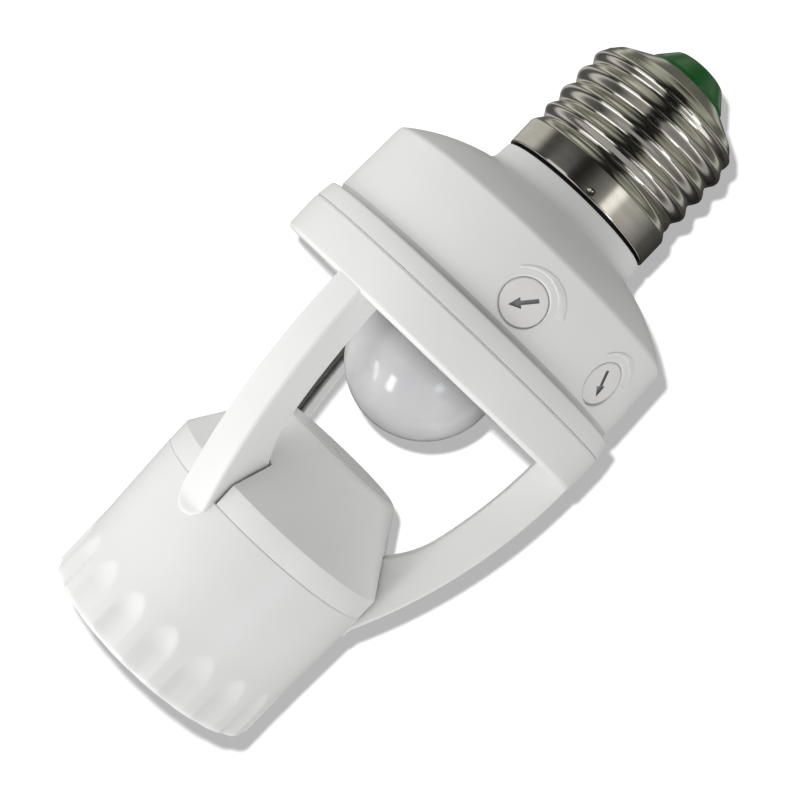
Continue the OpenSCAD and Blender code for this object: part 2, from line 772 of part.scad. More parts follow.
module film_capacitor() color([0.62, 0.16, 0.10]) block(film_cap_at, [film_cap_l, film_cap_w, film_cap_h]);

module electrolytic_capacitor() color([0.12, 0.12, 0.16]) {
    r = can_cap_d / 2;
    translate([can_cap_at[0], can_cap_at[1], board_top_z]) rotate_extrude() polygon([
        [0, 0], [r, 0], [r, 0.8], [r - 0.35, 1.2], [r, 1.6], [r, can_cap_h - 0.4], [r - 0.4, can_cap_h], [0, can_cap_h]
    ]);
}

module control_chip() color([0.10, 0.10, 0.11]) block(chip_at, [chip_w, chip_l, chip_h]);

// Round part lying along Y above the board, on two legs
module on_legs(x, y, l, r, up) translate([x, y, board_top_z]) {
    translate([0, 0, up]) rotate([90, 0, 0]) cylinder(h = l, r = r, center = true, $fn = 32);
    for (s = [-1, 1]) round_pin(0, s * (l / 2 - 2 * lead_r), 0, up - r / 2, lead_r, 24);
}

module bridge_diodes() color([0.14, 0.14, 0.15])
    for (i = [0:3]) on_legs(diode_at[0] + diode_step * i, diode_at[1], diode_l, diode_r, diode_up);

module resistors() color([0.72, 0.62, 0.46])
    for (i = [0:1]) on_legs(resistor_at[0] + resistor_step * i, resistor_at[1], resistor_l, resistor_r, resistor_up);

// Trimmer body standing on the board, with a round seat for its rotor
module pot_body(angle) color([0.12, 0.30, 0.62]) difference() {
    on_wall(angle, pot_face_r - pot_size[1], board_top_z)
        translate([-pot_size[0] / 2, 0, 0]) cube([pot_size[0], dial_z + pot_top - board_top_z, pot_size[1]]);
    on_wall(angle, pot_face_r - rotor_t, dial_z) cylinder(h = rotor_t + cut, r = rotor_r + 0.08);
}

module pot_rotor(angle, arrow) color([0.92, 0.92, 0.90]) on_wall(angle, pot_face_r - rotor_t + seat, dial_z)
    rotate([0, 0, arrow]) {
        cylinder(h = rotor_t + 0.3, r = rotor_r);
        translate([-key_r, -key_r / 2, rotor_t]) cube([2 * key_r, key_r, key_l]);
    }

// Dial with a sunk arrow, driven by the key on the rotor
module dial(angle, arrow) color([0.90, 0.90, 0.88]) on_wall(angle, dial_r_out - dial_t, dial_z)
    rotate([0, 0, arrow]) difference() {
        cylinder(h = dial_t, r = dial_d / 2);
        translate([-key_r - seat, -key_r / 2 - seat, -cut]) cube([2 * key_r + 2 * seat, key_r + 2 * seat, cut + 1]);
        translate([0, 0, dial_t - arrow_depth]) linear_extrude(cut + arrow_depth) {
            translate([-arrow_l / 2, -arrow_w / 2]) square([arrow_l - 1, arrow_w]);
            polygon([[arrow_l / 2 - 1.5, -0.9], [arrow_l / 2, 0], [arrow_l / 2 - 1.5, 0.9]]);
        }
    }

module time_pot_body() pot_body(270 - dial_angle);
module light_pot_body() pot_body(270 + dial_angle);
module time_pot_rotor() pot_rotor(270 - dial_angle, time_arrow);
module light_pot_rotor() pot_rotor(270 + dial_angle, light_arrow);
module time_dial() dial(270 - dial_angle, time_arrow);
module light_dial() dial(270 + dial_angle, light_arrow);

// Inner screw shell of the lamp socket: plain mouth, female thread and an end ring
module lamp_shell() color(brass) {
    top_z = carrier_z - seat;
    out_r = mouth_d / 2 + lamp_shell_wall;
    thread_foot = mouth_up + mouth_h;
    difference() {
        round_pin(0, 0, mouth_up, top_z, out_r, 96);
        round_pin(0, 0, mouth_up - cut, thread_foot, mouth_d / 2, 96);
        round_pin(0, 0, mouth_up, top_z + cut, shell_hole_r);
        thread_solid(lamp_root_r, lamp_crest_r, thread_foot - 0.8, top_z - shell_end_t, thread_foot + 1, 36, 6);
        at_angles([0, 180], carrier_screw_at) round_pin(0, 0, top_z - cut, top_z + cut, screw_d / 2 + 0.2);
        round_pin(0, shell_rivet_y, top_z - cut, top_z + cut, rivet_r + seat);
    }
}

// Springy centre contact of the lamp socket
module lamp_contact() color([0.85, 0.62, 0.34]) {
    t = 0.4;
    base_z = carrier_z - seat - t / 2;
    difference() {
        rotate([90, 0, 90]) translate([0, 0, -2.5]) linear_extrude(5)
            strip([
                [contact_rivet_y - 2.1, base_z], [contact_rivet_y + 2.4, base_z], [0.4, base_z - 2.6],
                [3.2, base_z - 3.2], [5, base_z - 2.2]
            ], t);
        round_pin(0, contact_rivet_y, base_z - cut, base_z + cut, rivet_r + seat);
    }
}

module contact_carrier() color([0.82, 0.80, 0.74]) {
    difference() {
        round_pin(0, 0, carrier_z, carrier_z + carrier_t, carrier_r, 96);
        at_angles([0, 180], carrier_screw_at)
            round_pin(0, 0, carrier_z - cut, carrier_z + carrier_t + cut, screw_d / 2 + 0.2);
        for (y = [contact_rivet_y, shell_rivet_y])
            round_pin(0, y, carrier_z - cut, carrier_z + carrier_t + cut, rivet_r + seat);
    }
}

// Rivets that join the two contacts to the wires above the carrier
module contact_rivets() color(brass) {
    for (y = [contact_rivet_y, shell_rivet_y]) {
        under = carrier_z - 2 * seat - shell_end_t;
        round_pin(0, y, under - 0.5, under, rivet_head_r);
        round_pin(0, y, under - 0.1, carrier_z + carrier_t + 0.3, rivet_r);
        round_pin(0, y, carrier_z + carrier_t + seat, carrier_z + carrier_t + 0.7, rivet_head_r);
    }
}

// Route of a lead down the slot of the rear arm, at a depth d from its inner face
function arm_route(d, end_z) = concat(
    [[0, arm_r - arm_depth + d, board_z], [0, arm_r - arm_depth + d, floor_z + 1]],
    [for (p = arc([bow_c, bow_z], bow_r - arm_depth + d, 0, -arm_angle(d, end_z), 10)) [0, p[0], p[1]]]
);
lead_depth = 0.95;
lead_end_z = carrier_z + carrier_t + 0.7 + wire_d / 2;

module neutral_lead() color([0.10, 0.10, 0.11])
    wire(concat(arm_route(lead_depth + wire_d + 0.1, lead_end_z + 2.05), [
        [0, foot_in_r + 1.7, lead_end_z + 0.95], [0, foot_in_r - 1.7, lead_end_z + 0.25],
        [0, shell_rivet_y - 1, lead_end_z]
    ]), [1, 0, 0]);

module live_lead() color([0.13, 0.12, 0.12])
    wire(concat(arm_route(lead_depth, foot_in_z + 0.2), [
        [0, foot_in_r + 1.1, foot_in_z - 0.6], [0, foot_in_r - 1.4, foot_in_z - 1.5],
        [0, shell_rivet_y, lead_end_z + 1.9], [0, 2, lead_end_z + 1.4], [0, contact_rivet_y + 1, lead_end_z]
    ]), [1, 0, 0]);

module housing_screws() color([0.55, 0.55, 0.56])
    at_angles(screw_angles, screw_at) screw(collar_z, wall_top_z - 6);

module carrier_screws() color([0.60, 0.58, 0.52])
    at_angles([0, 180], carrier_screw_at) screw(carrier_z - 2 * seat - shell_end_t - screw_head_h, screw_end_z - 1);

upper_housing();
lower_frame();
socket_roof();
screw_shell();
cap_insulator();
tip_contact();
tip_wire();
shell_wire();
pir_lens();
lens_ring();
pir_sensor_can();
pir_window();
light_cell();
circuit_board();
relay_case();
film_capacitor();
electrolytic_capacitor();
control_chip();
bridge_diodes();
resistors();
time_pot_body();
light_pot_body();
time_pot_rotor();
light_pot_rotor();
time_dial();
light_dial();
lamp_shell();
lamp_contact();
contact_carrier();
contact_rivets();
live_lead();
neutral_lead();
housing_screws();
carrier_screws();
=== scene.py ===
import json
import math

import bmesh
import bpy
import numpy as np
from mathutils import Matrix, Vector

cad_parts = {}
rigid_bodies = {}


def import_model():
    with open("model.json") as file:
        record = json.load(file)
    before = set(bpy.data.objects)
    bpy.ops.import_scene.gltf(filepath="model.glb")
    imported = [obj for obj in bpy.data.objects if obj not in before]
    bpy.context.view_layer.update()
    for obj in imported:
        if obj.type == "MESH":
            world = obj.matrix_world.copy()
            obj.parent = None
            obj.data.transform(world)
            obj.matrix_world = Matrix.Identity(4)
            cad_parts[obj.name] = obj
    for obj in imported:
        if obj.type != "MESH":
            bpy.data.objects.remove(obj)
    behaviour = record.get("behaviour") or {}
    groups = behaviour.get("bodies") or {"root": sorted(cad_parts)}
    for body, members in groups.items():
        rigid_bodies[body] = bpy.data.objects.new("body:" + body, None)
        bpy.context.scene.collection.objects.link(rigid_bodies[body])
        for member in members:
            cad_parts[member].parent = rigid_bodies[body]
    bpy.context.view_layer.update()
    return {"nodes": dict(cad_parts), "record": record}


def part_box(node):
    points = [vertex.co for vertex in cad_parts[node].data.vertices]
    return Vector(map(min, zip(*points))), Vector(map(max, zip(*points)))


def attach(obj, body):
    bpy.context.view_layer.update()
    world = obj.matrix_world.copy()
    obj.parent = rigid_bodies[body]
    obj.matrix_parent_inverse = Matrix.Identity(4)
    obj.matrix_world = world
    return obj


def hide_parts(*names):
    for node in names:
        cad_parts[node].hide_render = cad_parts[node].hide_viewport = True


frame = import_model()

MM = 0.001

# Sizes of the part in millimetres, as in the solids
COLLAR_R = 28.45
SHELL_WALL = 1.6
SOCKET_R = 19.4
RIM_R = 18.9
SOCKET_WALL = 1.8
PARTING_Z = 25.0
BAND_TOP_Z = 28.5
ROOF_TOP_Z = 40.5
ROOF_TOP_R = 11.6
ROOF_WALL = 1.6
COLLAR_Z = 59.6
FLOOR_Z = 61.2
JOINT_Z = 65.9
FLANGE_Z = 68.7
WALL_TOP_Z = 81.2
FOOT_R = 26.8
HEAD_R = 26.35
NECK_R = 13.45
NECK_Z = 87.3
NECK_TOP_Z = 90.7
LENS_R = 12.0
LENS_DROP = 0.5
LENS_SHADE_H = 6.5
DIAL_Z = 73.5
DIAL_R = 3.3
DIAL_T = 2.2
DIAL_ANGLES = {"time": 270 - 19.7, "light": 270 + 19.7}
DIAL_ARROWS = {"time": 229, "light": -59}
DIAL_R_OUT = 26.377
SCREW_ANGLES = (30, 150, 270)
SCREW_AT = 23.0
POST_ANGLES = (0, 120, 240)
CARRIER_SCREW_AT = 9.5
CELL_AT = 17.5
PITCH = 3.63
CAP_R = 13.25
ROOT_R = 12.25
CREST_R = 13.12
CAP_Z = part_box("screw_shell")[0].z / MM
TIP_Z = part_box("cap_insulator")[1].z / MM
INSULATOR_H = 3.1
INSULATOR_Z = TIP_Z - INSULATOR_H
CONE_H = 3.9
SKIRT_H = 6.2
THREAD_Z = CAP_Z + SKIRT_H
CONE_Z = INSULATOR_Z - CONE_H
INSULATOR_R = 6.7
INSULATOR_TOP_R = 4.1

# Arms: circles of their outer and inner side, seen from the side as (distance from the axis, height)
ARM_ANGLES = (90, 210, 330)
BOW_C = -61.29
BOW_R = 89.59
ARM_DEPTH = 6.0
FLARE_C = (3.39, 45.35)
FLARE_R = 17.0
FLARE_Z = 41.3
FOOT_OUT_R = 19.58
ARM_TOP_W = 5.0
ARM_FOOT_W = 5.8
FOOT_END_Z = 20.8
SLOT_W = 2.5
NOTCH_GAP = 0.4
NOTCH_R = 18.3


def foot_in():
    """Where the flare of an arm meets the line of its foot, which runs up along the roof."""
    start = np.array((NOTCH_R, BAND_TOP_Z))
    d = np.array((ROOF_TOP_R - SOCKET_R, ROOF_TOP_Z - BAND_TOP_Z))
    d /= np.linalg.norm(d)
    v = start - FLARE_C
    return start - (v @ d + math.sqrt((v @ d) ** 2 - v @ v + FLARE_R ** 2)) * d


FOOT_IN_R, FOOT_IN_Z = foot_in()


def rot2(v, deg):
    a = math.radians(deg)
    return np.array([v[0] * math.cos(a) - v[1] * math.sin(a), v[0] * math.sin(a) + v[1] * math.cos(a)])


def arc(cx, cy, r, a0, a1, n):
    t = np.radians(np.linspace(a0, a1, n + 1))
    return [(cx + r * math.cos(a), cy + r * math.sin(a)) for a in t]


def rounded(corners, steps=5, closed=False):
    """Polyline through corners (x, y, fillet radius), each corner replaced by an arc."""
    out = []
    n = len(corners)
    for i, c in enumerate(corners):
        p = np.array(c[:2], float)
        r = c[2] if len(c) > 2 else 0
        if r <= 0 or (not closed and i in (0, n - 1)):
            out.append(tuple(p))
            continue
        a = np.array(corners[i - 1][:2], float) - p
        b = np.array(corners[(i + 1) % n][:2], float) - p
        la, lb = np.linalg.norm(a), np.linalg.norm(b)
        a, b = a / la, b / lb
        half = math.acos(max(-1, min(1, float(a @ b)))) / 2
        if half > math.radians(89):
            out.append(tuple(p))
            continue
        d = min(r / math.tan(half), 0.48 * la, 0.48 * lb)
        r = d * math.tan(half)
        mid = (a + b) / np.linalg.norm(a + b)
        centre = p + mid * (r / math.sin(half))
        v0, v1 = p + a * d - centre, p + b * d - centre
        turn = math.atan2(v0[0] * v1[1] - v0[1] * v1[0], v0 @ v1)
        for k in range(steps + 1):
            out.append(tuple(centre + rot2(v0, math.degrees(turn) * k / steps)))
    return out


def build(name, verts, faces, sharp=40):
    """Mesh object from millimetres, smooth but for edges sharper than the given angle."""
    mesh = bpy.data.meshes.new(name)
    mesh.from_pydata([tuple(float(c) * MM for c in v) for v in verts], [], faces)
    bm = bmesh.new()
    bm.from_mesh(mesh)
    bmesh.ops.remove_doubles(bm, verts=bm.verts, dist=1e-7)
    bmesh.ops.recalc_face_normals(bm, faces=bm.faces)
    bm.to_mesh(mesh)
    bm.free()
    obj = bpy.data.objects.new(name, mesh)
    bpy.context.scene.collection.objects.link(obj)
    shade(obj, sharp)
    return obj


def shade(obj, sharp=40):
    bm = bmesh.new()
    bm.from_mesh(obj.data)
    limit = math.radians(sharp)
    for f in bm.faces:
        f.smooth = True
    for e in bm.edges:
        e.smooth = len(e.link_faces) == 2 and e.calc_face_angle(0) < limit
    bm.to_mesh(obj.data)
    bm.free()


def grid(rows, wrap_rows=False):
    """Vertices and quads from equal closed rows of points."""
    n, m = len(rows), len(rows[0])
    verts = [p for row in rows for p in row]
    faces = []
    for i in range(n if wrap_rows else n - 1):
        for j in range(m):
            a, b = i * m + j, i * m + (j + 1) % m
            c, d = ((i + 1) % n) * m + (j + 1) % m, ((i + 1) % n) * m + j
            faces.append((a, b, c, d))
    return verts, faces


def row_at(z, radius, n):
    """Points round the axis at height z; radius is a number or a function of height and angle."""
    row = []
    for j in range(n):
        a = 2 * math.pi * j / n
        r = radius(z, a) if callable(radius) else radius
        row.append((r * math.cos(a), r * math.sin(a), z))
    return row


def revolve(name, profile, n=192, closed=True, sharp=40):
    """Turned solid from (r, z) points; an open profile starts and ends inside the part."""
    rows = [row_at(z, r, n) for r, z in profile]
    return build(name, *grid(rows, wrap_rows=closed), sharp)


def loft(name, sections, sharp=40):
    """Closed sections of equal length, joined in order and capped at both ends."""
    verts, faces = grid(sections)
    m = len(sections[0])
    last = (len(sections) - 1) * m
    faces.append(tuple(range(m - 1, -1, -1)))
    faces.append(tuple(range(last, last + m)))
    return build(name, verts, faces, sharp)


def cut(obj, cutters, sharp=40):
    """Cuts the cutters out with exact booleans and removes them; their material stays on the cut faces."""
    for c in cutters:
        mod = obj.modifiers.new("cut", "BOOLEAN")
        mod.operation = "DIFFERENCE"
        mod.solver = "EXACT"
        mod.object = c
        if len(c.data.materials):
            mod.material_mode = "TRANSFER"
    bpy.context.view_layer.update()
    dg = bpy.context.evaluated_depsgraph_get()
    mesh = bpy.data.meshes.new_from_object(obj.evaluated_get(dg))
    obj.modifiers.clear()
    obj.data = mesh
    for c in cutters:
        bpy.data.objects.remove(c)
    shade(obj, sharp)
    return obj


def merge(name, parts):
    """One mesh from several objects that stay separate shells."""
    bm = bmesh.new()
    for p in parts:
        bm.from_mesh(p.data)
    mesh = bpy.data.meshes.new(name)
    bm.to_mesh(mesh)
    bm.free()
    for m in parts[0].data.materials:
        mesh.materials.append(m)
    obj = bpy.data.objects.new(name, mesh)
    bpy.context.scene.collection.objects.link(obj)
    for p in parts:
        bpy.data.objects.remove(p)
    return obj


def cylinder(x, y, z0, z1, r, n=48):
    return loft("cylinder", [[(x + u, y + v, h) for u, v, h in row_at(z, r, n)] for z in (z0, z1)])


def at_angles(angles, at, z0, z1, r):
    """Upright cylinders at a distance from the axis, at the given angles."""
    return [cylinder(at * math.cos(math.radians(a)), at * math.sin(math.radians(a)), z0, z1, r) for a in angles]


def axes_matrix(x, y, z, origin):
    """Matrix of a frame from its three axes and its origin in metres."""
    m = Matrix.Identity(4)
    m.col[0][:3], m.col[1][:3], m.col[2][:3], m.col[3][:3] = x, y, z, origin
    return m


def on_wall(angle, r, z):
    """Matrix that puts a shape, drawn facing +Z with its top to +Y, on the wall (millimetres)."""
    a = math.radians(angle)
    out = Vector((math.cos(a), math.sin(a), 0))
    return axes_matrix((-math.sin(a), math.cos(a), 0), (0, 0, 1), out, out * r * MM + Vector((0, 0, z * MM)))


# Materials


def new_material(name):
    mat = bpy.data.materials.new(name)
    mat.use_nodes = True
    nt = mat.node_tree
    nt.nodes.clear()
    out = nt.nodes.new("ShaderNodeOutputMaterial")
    bsdf = nt.nodes.new("ShaderNodeBsdfPrincipled")
    nt.links.new(bsdf.outputs[0], out.inputs[0])
    return mat, nt, bsdf


def noise(nt, scale, detail, vector):
    node = nt.nodes.new("ShaderNodeTexNoise")
    node.inputs["Scale"].default_value = scale
    node.inputs["Detail"].default_value = detail
    nt.links.new(vector, node.inputs["Vector"])
    return node.outputs["Fac"]


def ramp(nt, fac, stops):
    node = nt.nodes.new("ShaderNodeValToRGB")
    while len(node.color_ramp.elements) < len(stops):
        node.color_ramp.elements.new(0.5)
    for e, (pos, col) in zip(node.color_ramp.elements, stops):
        e.position = pos
        e.color = (*col, 1) if hasattr(col, "__len__") else (col, col, col, 1)
    nt.links.new(fac, node.inputs[0])
    return node.outputs[0]


def span(nt, fac, low, high):
    node = nt.nodes.new("ShaderNodeMapRange")
    node.inputs["To Min"].default_value = low
    node.inputs["To Max"].default_value = high
    nt.links.new(fac, node.inputs["Value"])
    return node.outputs[0]


def bump(nt, bsdf, height, strength, distance):
    node = nt.nodes.new("ShaderNodeBump")
    node.inputs["Strength"].default_value = strength
    node.inputs["Distance"].default_value = distance
    nt.links.new(height, node.inputs["Height"])
    nt.links.new(node.outputs[0], bsdf.inputs["Normal"])


def multiply(nt, a, b):
    node = nt.nodes.new("ShaderNodeMix")
    node.data_type = "RGBA"
    node.blend_type = "MULTIPLY"
    node.inputs[0].default_value = 1.0
    nt.links.new(a, node.inputs[6])
    nt.links.new(b, node.inputs[7])
    return node.outputs[2]


def coords(nt):
    return nt.nodes.new("ShaderNodeTexCoord").outputs["Object"]


def shades(col, low, high):
    return [(0.3, tuple(c * low for c in col)), (0.7, tuple(min(1, c * high) for c in col))]


def plastic(name, col, rough=(0.34, 0.44), spread=0.02, coat=0.0, subsurface=0.0):
    """Moulded plastic with a faint mottle and a fine grain."""
    mat, nt, bsdf = new_material(name)
    xyz = coords(nt)
    nt.links.new(ramp(nt, noise(nt, 60, 4, xyz), shades(col, 1 - spread, 1 + spread)), bsdf.inputs["Base Color"])
    nt.links.new(span(nt, noise(nt, 400, 3, xyz), *rough), bsdf.inputs["Roughness"])
    bump(nt, bsdf, noise(nt, 4000, 2, xyz), 0.5, 0.004 * MM)
    bsdf.inputs["Coat Weight"].default_value = coat
    if subsurface:
        bsdf.inputs["Subsurface Weight"].default_value = subsurface
        bsdf.inputs["Subsurface Radius"].default_value = (1.0, 0.9, 0.8)
        bsdf.inputs["Subsurface Scale"].default_value = 1.2 * MM
    return mat


def metal(name, col, rough, streak=(1, 1, 1)):
    """Sheet metal with a fine grain, drawn out along an axis by streak."""
    mat, nt, bsdf = new_material(name)
    mapping = nt.nodes.new("ShaderNodeMapping")
    mapping.inputs["Scale"].default_value = streak
    nt.links.new(coords(nt), mapping.inputs["Vector"])
    xyz = mapping.outputs[0]
    nt.links.new(ramp(nt, noise(nt, 150, 5, xyz), shades(col, 0.94, 1.06)), bsdf.inputs["Base Color"])
    nt.links.new(span(nt, noise(nt, 700, 4, xyz), *rough), bsdf.inputs["Roughness"])
    bump(nt, bsdf, noise(nt, 900, 3, xyz), 0.4, 0.003 * MM)
    bsdf.inputs["Metallic"].default_value = 1.0
    return mat


WHITE = (0.80, 0.80, 0.79)
mats = {
    "housing": plastic("housing_plastic", WHITE, subsurface=0.05),
    "frame": plastic("frame_plastic", WHITE, subsurface=0.05),
    "roof": plastic("roof_plastic", (0.79, 0.79, 0.78), subsurface=0.05),
    "cap_metal": metal("nickel_plate", (0.80, 0.77, 0.71), rough=(0.10, 0.18), streak=(1, 1, 6)),
    "insulator": plastic("green_glass", (0.012, 0.125, 0.022), rough=(0.2, 0.3), coat=0.2, spread=0.15),
    "tip_metal": metal("tip_brass", (0.72, 0.62, 0.36), rough=(0.2, 0.35)),
    "red_wire": plastic("red_wire_skin", (0.60, 0.05, 0.04)),
    "black_wire": plastic("black_wire_skin", (0.11, 0.11, 0.09)),
    "ring": plastic("ring_plastic", (0.12, 0.12, 0.13)),
    "can_metal": metal("can_plate", (0.62, 0.60, 0.54), rough=(0.25, 0.4)),
    "sensor_window": plastic("filter_window", (0.06, 0.06, 0.08), rough=(0.05, 0.1)),
    "cell": plastic("cell_coat", (0.55, 0.30, 0.14), rough=(0.1, 0.2)),
    "board": plastic("board_mask", (0.05, 0.22, 0.11), spread=0.15),
    "relay_blue": plastic("relay_case_plastic", (0.05, 0.12, 0.42)),
    "film": plastic("film_coat", (0.45, 0.08, 0.05), rough=(0.15, 0.25)),
    "sleeve": plastic("sleeve_plastic", (0.04, 0.04, 0.06), rough=(0.15, 0.25)),
    "black_resin": plastic("black_resin", (0.03, 0.03, 0.03)),
    "resistor_coat": plastic("resistor_coat", (0.55, 0.44, 0.28)),
    "pot": plastic("pot_plastic", (0.05, 0.16, 0.42)),
    "rotor": plastic("rotor_plastic", (0.80, 0.80, 0.78)),
    "dial": plastic("dial_plastic", (0.79, 0.78, 0.77)),
    "brass": metal("stamped_brass", (0.76, 0.58, 0.28), rough=(0.18, 0.32)),
    "carrier": plastic("carrier_board", (0.74, 0.70, 0.60), rough=(0.5, 0.6), spread=0.08),
    "screw_steel": metal("zinc_plate", (0.56, 0.56, 0.58), rough=(0.25, 0.4)),
}


def lens_material():
    mat, nt, bsdf = new_material("milky_lens")
    xyz = coords(nt)
    # painted shade: the lens's milky colour darkens toward the collar, standing in for the shade where the housing
    # behind it takes the light
    sep = nt.nodes.new("ShaderNodeSeparateXYZ")
    nt.links.new(xyz, sep.inputs[0])
    level = nt.nodes.new("ShaderNodeMapRange")
    level.inputs["From Min"].default_value = (COLLAR_Z - LENS_SHADE_H) * MM
    level.inputs["From Max"].default_value = COLLAR_Z * MM
    nt.links.new(sep.outputs[2], level.inputs["Value"])
    painted_shade_milk = ramp(nt, level.outputs[0], [(0.0, (0.68, 0.68, 0.695)), (0.6, (0.60, 0.60, 0.615)), (1.0, 0.44)])
    cloud = ramp(nt, noise(nt, 90, 3, xyz), [(0.3, 0.94), (0.7, 1.0)])
    nt.links.new(multiply(nt, painted_shade_milk, cloud), bsdf.inputs["Base Color"])
    nt.links.new(span(nt, noise(nt, 500, 2, xyz), 0.10, 0.18), bsdf.inputs["Roughness"])
    bump(nt, bsdf, noise(nt, 700, 2, xyz), 0.3, 0.01 * MM)
    bsdf.inputs["Subsurface Weight"].default_value = 0.6
    bsdf.inputs["Subsurface Radius"].default_value = (1.0, 1.0, 1.0)
    bsdf.inputs["Subsurface Scale"].default_value = 3 * MM
    return mat


mats["lens"] = lens_material()
# painted shade: dark colours that stand for the shade on faces that lie in it: the dials' arrows, the gap below the
# cap and the groove at the wall's foot
mats["mark"] = plastic("arrow_recess_painted_shade", (0.24, 0.24, 0.245), rough=(0.5, 0.6))
mats["gap"] = plastic("gap_shade", (0.012, 0.012, 0.012), rough=(0.6, 0.7))
mats["crevice"] = plastic("crevice_shade", (0.60, 0.60, 0.59), rough=(0.5, 0.6), spread=0.08)


def finish_piece(obj, name, body, slot, node):
    """Names a piece, gives it its slot's material and lets it stand for a CAD node."""
    obj.name = name
    if not len(obj.data.materials):
        obj.data.materials.append(mats[slot])
    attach(obj, body)
    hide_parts(node)


# CAD nodes that stay take a procedural material through their slots
slot_of = {s["node"]: s["material_slot"] for s in frame["record"]["subparts"]}
for node, obj in frame["nodes"].items():
    obj.data.materials.clear()
    obj.data.materials.append(mats[slot_of[node]])

# Smooth pieces that stand for the moulded plastic, the metal and the lens


def arc_centre(p, q, r):
    """Centre of the circle of radius r through p and q, on the side of the axis."""
    p, q = np.array(p), np.array(q)
    d = q - p
    h = math.sqrt(r * r - d @ d / 4)
    return (p + q) / 2 + h * np.array([-d[1], d[0]]) / np.linalg.norm(d)


def wall_r(z):
    return FOOT_R - (FOOT_R - HEAD_R) * (z - FLANGE_Z) / (WALL_TOP_Z - FLANGE_Z)


def wall_point(angle, u, v, h):
    """Point on the housing wall: u across and v up from the middle of a dial, h outward from the wall."""
    a = math.radians(angle)
    r = math.sqrt(wall_r(DIAL_Z + v) ** 2 - u * u) + h
    return (r * math.cos(a) - u * math.sin(a), r * math.sin(a) + u * math.cos(a), DIAL_Z + v)


SHOULDER_R = 30.0
SHOULDER_C = arc_centre((HEAD_R, WALL_TOP_Z), (NECK_R, NECK_Z), SHOULDER_R)
SPIGOT_R = NECK_R - 1.6
SPIGOT_TOP_Z = THREAD_Z + 2
LIP_Z = FLANGE_Z - 1.4
BOSS_R = 2.4
HOLE_R = DIAL_R + 0.2
PATCH_R = 3.9
GROOVE_R = FOOT_R - 0.2
GROOVE_H = 0.8
CRESCENT_TURN = (18, 139)
CRESCENT_IN_R = 4.6
CRESCENT_OUT_R = 5.4
CRESCENT_SHIFT = 0.6
RING_SIDES = 96


def shoulder_line(t, r_in, n):
    r = SHOULDER_R - t
    foot = math.degrees(math.acos((HEAD_R - t - SHOULDER_C[0]) / r))
    head = math.degrees(math.acos((r_in - SHOULDER_C[0]) / r))
    return arc(*SHOULDER_C, r, foot, head, n)


def dial_circle(angle, r, h):
    """Circle on the wall round the middle of a dial, h outward from the wall."""
    turns = np.linspace(0, 2 * math.pi, RING_SIDES, endpoint=False)
    return [wall_point(angle, r * math.cos(t), r * math.sin(t), h) for t in turns]


def make_hole_ring(angle):
    """Rim of a dial's hole, with a small rounding where it meets the wall."""
    profile = [(HOLE_R, -SHELL_WALL), (HOLE_R, -0.18), (HOLE_R + 0.03, -0.09), (HOLE_R + 0.09, -0.03),
               (HOLE_R + 0.2, 0), (PATCH_R, 0), (PATCH_R, -SHELL_WALL)]
    return build("hole_ring", *grid([dial_circle(angle, r, h) for r, h in profile], wrap_rows=True), 50)


def make_hole_cutter(angle):
    return loft("hole_cutter", [dial_circle(angle, PATCH_R, h) for h in (-3.0, 1.0)])


def make_crescent(angle):
    """Raised crescent outside a dial, thickest to the right of its middle."""
    def outline(inset):
        """Inner edge one way and outer edge back, both drawn in by inset."""
        inner, outer = [], []
        for t in np.linspace(CRESCENT_TURN[0] + 12 * inset, CRESCENT_TURN[1] - 12 * inset, 41):
            c, s = math.cos(math.radians(t)), math.sin(math.radians(t))
            far = CRESCENT_SHIFT * c + math.sqrt((CRESCENT_OUT_R - inset) ** 2 - (CRESCENT_SHIFT * s) ** 2)
            near = min(CRESCENT_IN_R + inset, far - 0.01)
            inner.append((near * c, near * s))
            outer.append((far * c, far * s))
        return inner + outer[::-1]

    sections = []
    for inset, h in ((0, -0.3), (0, 0.02), (0.08, 0.06), (0.2, 0.08)):
        sections.append([wall_point(angle, u, v, h) for u, v in outline(inset)])
    return loft("crescent", sections, 70)


